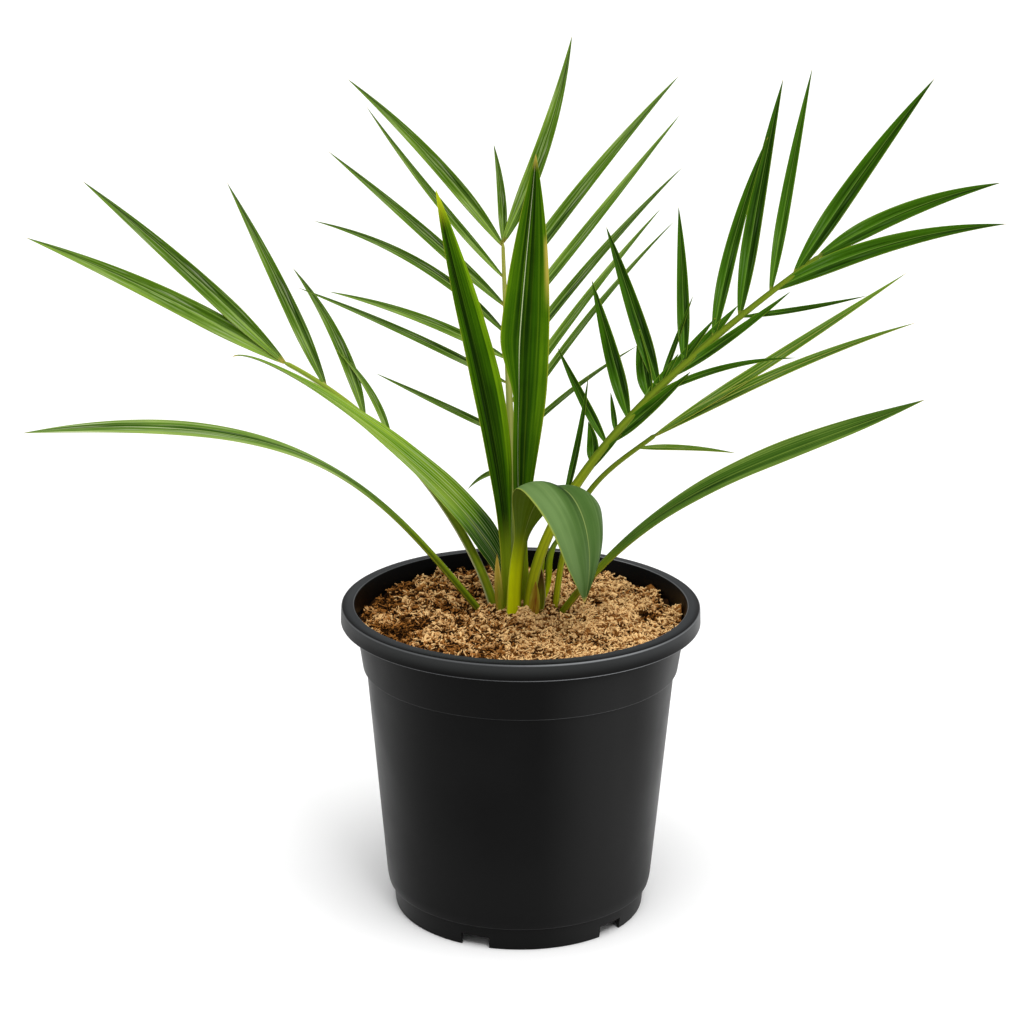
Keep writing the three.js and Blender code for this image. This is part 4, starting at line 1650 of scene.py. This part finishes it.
@dataclass(frozen=True)
class BarkMix:
    """The potting mix: a lumpy bed that fills the pot, strewn with shreds, curls and fibres of bark."""

    name: str = "bark_bed"
    edge_height: float = 214.0
    top_height: float = 216.0
    mound: float = 2.6
    mound_centre: tuple[float, float] = (4.0, 18.0)
    mound_radius: float = 34.0
    lump: float = 2.4
    lump_lengths: tuple[float, ...] = (61.0, 37.0, 23.0, 15.0, 10.0, 7.0)
    lump_waves: int = 5
    lump_falloff: float = 0.4
    level_share: float = 0.4
    wall_gap: float = 0.6
    chip_margin: float = 1.5
    rings: int = 60
    sectors: int = 150
    seed: int = 5
    bed_tone: float = 0.2

    def _height(self, x: np.ndarray, y: np.ndarray, edge: float) -> np.ndarray:
        """Heaps up the bed.

        Args:
            x: the places on it, to the right.
            y: the places on it, to the back.
            edge: its radius.

        Returns:
            The height at each place.
        """
        chance = np.random.default_rng(self.seed)
        fall = smoothstep(np.hypot(x, y), self.level_share * edge, edge)
        height = lerp(self.top_height, self.edge_height, fall)
        for length in self.lump_lengths:
            for _ in range(self.lump_waves):
                angle, phase = chance.uniform(0, math.tau, 2)
                wave = np.sin((x * math.cos(angle) + y * math.sin(angle)) * math.tau / length + phase)
                height = height + wave * self.lump * (length / self.lump_lengths[0]) ** self.lump_falloff / 2
        away = np.hypot(x - self.mound_centre[0], y - self.mound_centre[1]) / self.mound_radius
        return height + self.mound * np.exp(-away ** 2)

    def _top(self, edge: float) -> tuple[list, list]:
        """Builds the bed's top, ring by ring from its centre.

        Args:
            edge: its radius.

        Returns:
            Its points and faces.
        """
        count = self.sectors
        angles = np.linspace(0, math.tau, count, endpoint=False)
        radii = edge * np.linspace(0, 1, self.rings + 1)[1:]
        x, y = np.outer(radii, np.cos(angles)), np.outer(radii, np.sin(angles))
        centre = self._height(np.zeros(1), np.zeros(1), edge)[0]
        points = [(0.0, 0.0, centre)] + list(zip(x.ravel(), y.ravel(), self._height(x, y, edge).ravel()))
        faces = [(0, 1 + step, 1 + (step + 1) % count) for step in range(count)]
        for ring in range(self.rings - 1):
            faces += band(1 + ring * count, 1 + (ring + 1) * count, count)
        return points, faces

    def _bed(self, pot: NurseryPot, edge: float) -> Mesh:
        """Builds the bed: its top, then the side and underside that the pot gives it.

        Args:
            pot: the pot that it fills.
            edge: the radius of its top.

        Returns:
            The closed mesh.
        """
        points, faces = self._top(edge)
        inset = pot.wall + self.wall_gap
        floor, recess = pot.gutter_roof + inset, pot.disc_radius - inset
        base, count = 1 + (self.rings - 1) * self.sectors, self.sectors
        for radius, height in (
                (pot.inner_radius(pot.body_top[1]) - self.wall_gap, pot.body_top[1]),
                (pot.inner_radius(pot.body_base[1]) - self.wall_gap, pot.body_base[1]),
                (pot.foot_top[0] - inset, pot.foot_top[1]), (pot.foot_radius - inset, floor),
                (recess, floor), (recess, inset)):
            faces += band(base, len(points), count)
            base = len(points)
            points += circle(radius, count, height)
        faces += fan(base, len(points), count)
        mesh = new_mesh(self.name, points + [(0.0, 0.0, inset)], faces)
        # The bed's low tone is the dark soil, and also painted shade in the gaps between the chips.
        store(mesh, TONE, np.full(len(points) + 1, self.bed_tone))
        return mesh

    def build(self, pot: NurseryPot, material: Material) -> None:
        """Builds the bed and strews it.

        Args:
            pot: the pot that it fills.
            material: the bark's material.
        """
        edge = pot.inner_radius(pot.rim_base[1]) - self.wall_gap
        settle(new_object(self.name, self._bed(pot, edge), material), "bark_mix", "soil")
        reach = edge - self.chip_margin
        surface, scatter = self._top(reach), chip_scatter()
        for shape in ChipShape:
            name = "bark_" + shape.name.lower() + "s"
            chips = new_object(name, new_mesh(name, *surface))
            grow(chips, scatter, shape.inputs(math.pi * (reach * MM) ** 2, material))
            settle(plain(chips), "bark_mix")


# Studio


@dataclass(frozen=True)
class Lamp:
    """A light that looks at a point. Its spread is the side of a square, or the angle of a sun."""

    name: str
    place: tuple[float, float, float]
    spread: float
    strength: float
    aim: tuple[float, float, float] = (0.0, 0.0, 0.25)
    kind: str = "AREA"

    def build(self) -> None:
        """Adds the light."""
        lamp = bpy.data.lights.new(self.name, self.kind)
        lamp.energy = self.strength
        if self.kind == "SUN":
            lamp.angle = math.radians(self.spread)
        else:
            lamp.size = self.spread
        made = linked(bpy.data.objects.new(self.name, lamp))
        made.location = self.place
        made.rotation_euler = (Vector(self.aim) - Vector(self.place)).to_track_quat("-Z", "Y").to_euler()


@dataclass(frozen=True)
class Studio:
    """A pale floor and background, soft lights, and the camera at the photograph's angle."""

    floor_size: float = 90.0
    floor_colour: str = "fcfcfc"
    floor_roughness: float = 0.9
    surround: str = "ffffff"
    surround_strength: float = 0.5
    camera_distance: float = 1853.5
    camera_elevation: float = 17.277
    camera_roll: float = 0.34
    camera_clip: tuple[float, float] = (0.05, 200.0)
    aim_x: float = -6.61
    aim_height: float = 293.363
    focal_pixels: float = 2648.25
    frame_pixels: float = 1024.0
    sensor: float = 36.0
    lights: tuple[Lamp, ...] = (
        Lamp("overhead_light", (0.1, -0.35, 1.25), 55.0, 2.6, (0.0, 0.0, 0.0), "SUN"),
        Lamp("side_light", (1.6, -1.3, 1.7), 1.7, 4.0),
        Lamp("fill_light", (-2.2, -0.9, 0.9), 1.0, 1.0),
        Lamp("glint_light", (0.5, -1.7, 1.9), 0.45, 7.0, (0.0, 0.0, 0.35)),
    )

    def _floor(self) -> None:
        """Adds the floor."""
        half = self.floor_size / 2
        mesh = bpy.data.meshes.new("floor")
        corners = [(-half, -half, 0), (half, -half, 0), (half, half, 0), (-half, half, 0)]
        mesh.from_pydata(corners, [], [(0, 1, 2, 3)])
        surface = Surface("floor", self.floor_colour)
        material = surface.dressed(linear(self.floor_colour), self.floor_roughness)
        new_object("floor", mesh, material)

    def _surround(self) -> None:
        """Sets the even pale light all round."""
        world = bpy.data.worlds.new("surround")
        world.use_nodes = True
        background = world.node_tree.nodes["Background"]
        background.inputs["Color"].default_value = linear(self.surround)
        background.inputs["Strength"].default_value = self.surround_strength
        bpy.context.scene.world = world

    def _camera(self) -> None:
        """Places the camera."""
        tilt, roll = math.radians(self.camera_elevation), math.radians(self.camera_roll)
        ahead = Vector((0, math.cos(tilt), -math.sin(tilt)))
        right, above = Vector((1, 0, 0)), Vector((1, 0, 0)).cross(ahead)
        x_axis = right * math.cos(roll) + above * math.sin(roll)
        y_axis = above * math.cos(roll) - right * math.sin(roll)
        place = Vector((self.aim_x, 0, self.aim_height)) - ahead * self.camera_distance
        lens = bpy.data.cameras.new("camera")
        lens.sensor_width = self.sensor
        lens.lens = self.sensor * self.focal_pixels / self.frame_pixels
        lens.clip_start, lens.clip_end = self.camera_clip
        camera = linked(bpy.data.objects.new("camera", lens))
        turn = Matrix((x_axis, y_axis, -ahead)).transposed().to_4x4()
        camera.matrix_world = Matrix.Translation(place * MM) @ turn
        bpy.context.scene.camera = camera

    def build(self) -> None:
        """Builds the camera, the floor and the light."""
        self._camera()
        self._floor()
        self._surround()
        for light in self.lights:
            light.build()
        bpy.context.scene.view_settings.view_transform = "Standard"


# The plant


def leaflets(*rows: tuple) -> tuple[Leaflet, ...]:
    """Returns the leaflets that the rows describe."""
    return tuple(Leaflet(*row) for row in rows)


STRAPS = (
    Strap("strap_left_narrow", "left_narrow_strap",
          StemLine((-30, 13), 210, ((80, 102), (129, 169), (332, 175)), -49),
          stem=5.5, stem_thickness=5, width=11, blade_from=0.35, widest=0.72, kind=LeafKind.NARROW_STRAP,
          tone=0.4, painted_left_half=0.25, stalk_to=0.4),
    Strap("strap_left_broad", "left_broad_strap",
          StemLine((-15, 28), 192, ((-32, 50), (167, 207), (188, 190)), -65, 67),
          stem=8, stem_thickness=6, width=25.5, blade_from=0, widest=0.22, kind=LeafKind.PALE_STRAP,
          tone=1.05, shade_valleys=((0.0, 3.0, 1.4, 0.33),), pleat=0.5, pleats=7, stalk_to=0.1),
    Strap("strap_right", "right_strap",
          StemLine((31, 14), -25, ((74, 109), (162, 135), (256, 185)), 43),
          stem=5.5, stem_thickness=5, width=18, blade_from=0, widest=0.65, stalk_to=0.25),
    Strap("strap_upright", "upright_strap",
          StemLine((-10, 11), 175, ((0, 135), (20, 180), (50, 302)), -45),
          stem=9, stem_thickness=6, width=26, blade_from=0.09, widest=0.5, taper=0.9, kind=LeafKind.UPRIGHT,
          tone=0.6, painted_left_half=-0.8, shade_valleys=((0.0, 0.25, 0.4, 0.9),), stalk_to=0.25),
    Strap("leaf_folded", "folded_leaf",
          StemLine((4, 21), 45, ((-20, 140), (-1, 224), (6, 325)), 45),
          stem=8, stem_thickness=6, width=38, blade_from=0.1, widest=0.53, lobe=(0.46, 0.62),
          kind=LeafKind.FOLDED, tone=0.45, shade_valleys=((-0.12, 0.18, 0.7, 1.6), (0.35, 0.2, 0.3, 1.4)),
          pleat=0.8, pleats=5, stalk_to=0.25),
    Strap("leaf_arched", "arched_leaf",
          StemLine((-5, 0), -52, ((3, 148), (101, 123), (78, 31)), -7, -16),
          stem=11, stem_thickness=8, width=69, blade_from=0.26, widest=0.64, taper=1.1, fold_share=-0.18,
          gull=0.15, channel=0.6, kind=LeafKind.YOUNG, slot="young_leaf", tone=0.95, painted_left_half=-0.4,
          shade_valleys=((-0.17, 0.15, 1.9, 0.85), (0.62, 0.12, 0.8, 0.72)), pleat=0.15, stalk_to=0.34),
    Strap("shoot_young", "young_shoot",
          StemLine((12, 20), 20, ((18, 22), (-3, 33), (22, 57)), 60),
          stem=4, stem_thickness=3, width=5, blade_from=0.2, widest=0.5, kind=LeafKind.YOUNG,
          slot="young_leaf", tone=0.9, stalk_to=1.0),
    Strap("shoot_rear", "rear_shoot",
          StemLine((12, 31), 20, ((2, 19), (3, 36), (6, 54)), 60),
          stem=4, stem_thickness=3, width=5, blade_from=0.2, widest=0.5, kind=LeafKind.YOUNG,
          slot="young_leaf", tone=0.9, stalk_to=1.0),
    Strap("bract_papery", "papery_bract",
          StemLine((-15, 3), 180, ((0, 15), (2, 30), (2, 46)), -90),
          stem=5, stem_thickness=2, width=6, blade_from=0.1, widest=0.3, kind=LeafKind.PAPERY, slot="bract",
          tone=0.7, stalk_to=0.8),
    Strap("sheath_patch", "", StemLine((9.5, 0.5), 0, ((0, 8), (1, 16), (1, 26)), 75),
          stem=6, stem_thickness=1.4, width=8, blade_from=0, widest=0.3, kind=LeafKind.SHEATH, slot="bract",
          tone=0.6, stalk_to=0.1, rings=30),
    Strap("sheath_husk", "", StemLine((13.5, 6), 20, ((1, 12), (1, 24), (0, 38)), 75),
          stem=5, stem_thickness=1.6, width=7, blade_from=0, widest=0.25, kind=LeafKind.HUSK, slot="bract",
          tone=0.4, stalk_to=0.8, rings=30),
)

FRONDS = (
    Frond("frond_left", "left_frond",
          StemLine((-19, 20), 160, ((22, 70), (89, 137), (161, 165)), -50),
          stem=7.5, tip_stem=3.5, lift=12, sag_share=0.04, rachis=LeafKind.CREAM_RACHIS, seed=2,
          blade=LeafKind.SILVERY_LEAFLET, tones=(0.1, 0.85), leaflets=leaflets(
              (1.0, 1, 225, -1, 15.5, -3), (1.0, -1, 215, 16, 13, 1), (0.85, -1, 175, 30, 10.5, 1),
              (0.7, -1, 125, 24, 9, 6), (0.59, -1, 80, 15, 5.5, 5))),
    Frond("frond_back", "back_frond",
          StemLine((-5, 37), 96, ((-8, 82), (75, 194), (89, 243)), 0),
          stem=8, tip_stem=2.6, lift=7, sag_share=0.045, rachis=LeafKind.PALE_RACHIS, seed=3,
          blade=LeafKind.SILVERY_LEAFLET, tones=(0.0, 0.75), leaflets=leaflets(
              (1.0, 1, 75, 4, 6.5, -2), (0.99, 1, 170, 41, 10.5, -4), (0.9, 1, 165, 36, 6.5, 4),
              (0.82, 1, 175, 46, 9), (0.74, 1, 165, 57, 7.5, -11), (0.67, 1, 140, 67, 7.5, -4),
              (0.6, 1, 170, 63, 6, -1), (0.45, 1, 110, 62, 5, 1), (0.36, 1, 35, 110, 4, -4),
              (1.0, -1, 165, 19, 12, 6), (0.86, -1, 215, 39, 10, -2), (0.75, -1, 215, 39, 7.5, 1),
              (0.64, -1, 205, 41, 7, -3), (0.54, -1, 190, 38, 6.5, -2), (0.48, -1, 200, 39, 5, -4),
              (0.43, -1, 120, 52, 4, -3))),
    Frond("frond_right", "right_frond",
          StemLine((5, 5), 5, ((5, 99), (107, 187), (201, 257)), 55),
          stem=8.5, tip_stem=3.5, lift=5, sag_share=0.03, seed=4, tones=(-0.3, 0.25), leaflets=leaflets(
              (0.25, 1, 95, 20, 5, -2), (0.36, 1, 30, 44, 9, -2), (0.41, 1, 80, 68, 7, 1),
              (0.48, 1, 105, 59, 12), (0.52, 1, 45, 10, 7, -1), (0.54, 1, 50, 54, 11, 1),
              (0.57, 1, 125, 65, 11.5), (0.58, 1, 60, 9, 7), (0.64, 1, 115, 51, 9, -1),
              (0.66, 1, 50, 8, 7), (0.72, 1, 150, 36, 10, 4), (0.79, 1, 175, 42, 12, 2),
              (0.87, 1, 165, 43, 8.5, 1), (0.93, 1, 170, 19, 13, 2), (0.99, -1, 135, 14, 12.5, -6),
              (0.88, -1, 165, 22, 13.5, -8), (0.79, -1, 90, 30, 4, 2), (0.6, -1, 105, 7, 7, 2),
              (0.54, -1, 110, 30, 5, -6), (0.41, -1, 80, 9, 10, 1), (0.33, -1, 40, 8, 5),
              (0.44, 1, 30, 50, 4), (0.57, 1, 70, 27, 4))),
    Frond("frond_right_rear", "right_rear_frond",
          StemLine((25, 22), 28, ((7, 86), (36, 93), (80, 117)), 30),
          stem=5, tip_stem=3.5, lift=0, sag_share=0.06, seed=5, blade=LeafKind.YELLOW_LEAFLET,
          leaflets=leaflets((1.0, 1, 240, -1, 9, -4), (0.98, -1, 220, 11, 9, -4), (0.89, -1, 70, 42, 5, -1))),
)


def main() -> None:
    """Builds the studio, the pot, the bark mix and every leaf, and reports each piece."""
    logging.basicConfig(level=logging.INFO, format="%(name)s %(message)s")
    Studio().build()
    kit = ShaderKit(leaf_marks(), fine_grain())
    pot = NurseryPot()
    pot.build(PotFinish().build(kit))
    BarkMix().build(pot, BarkFinish().build(kit))
    leaves = {kind: kind.value.build(kit) for kind in LeafKind}
    for strap in STRAPS:
        strap.build(leaves)
    row = leaflet_row()
    for frond in FRONDS:
        frond.build(leaves, row)


if __name__ == "__main__":
    main()
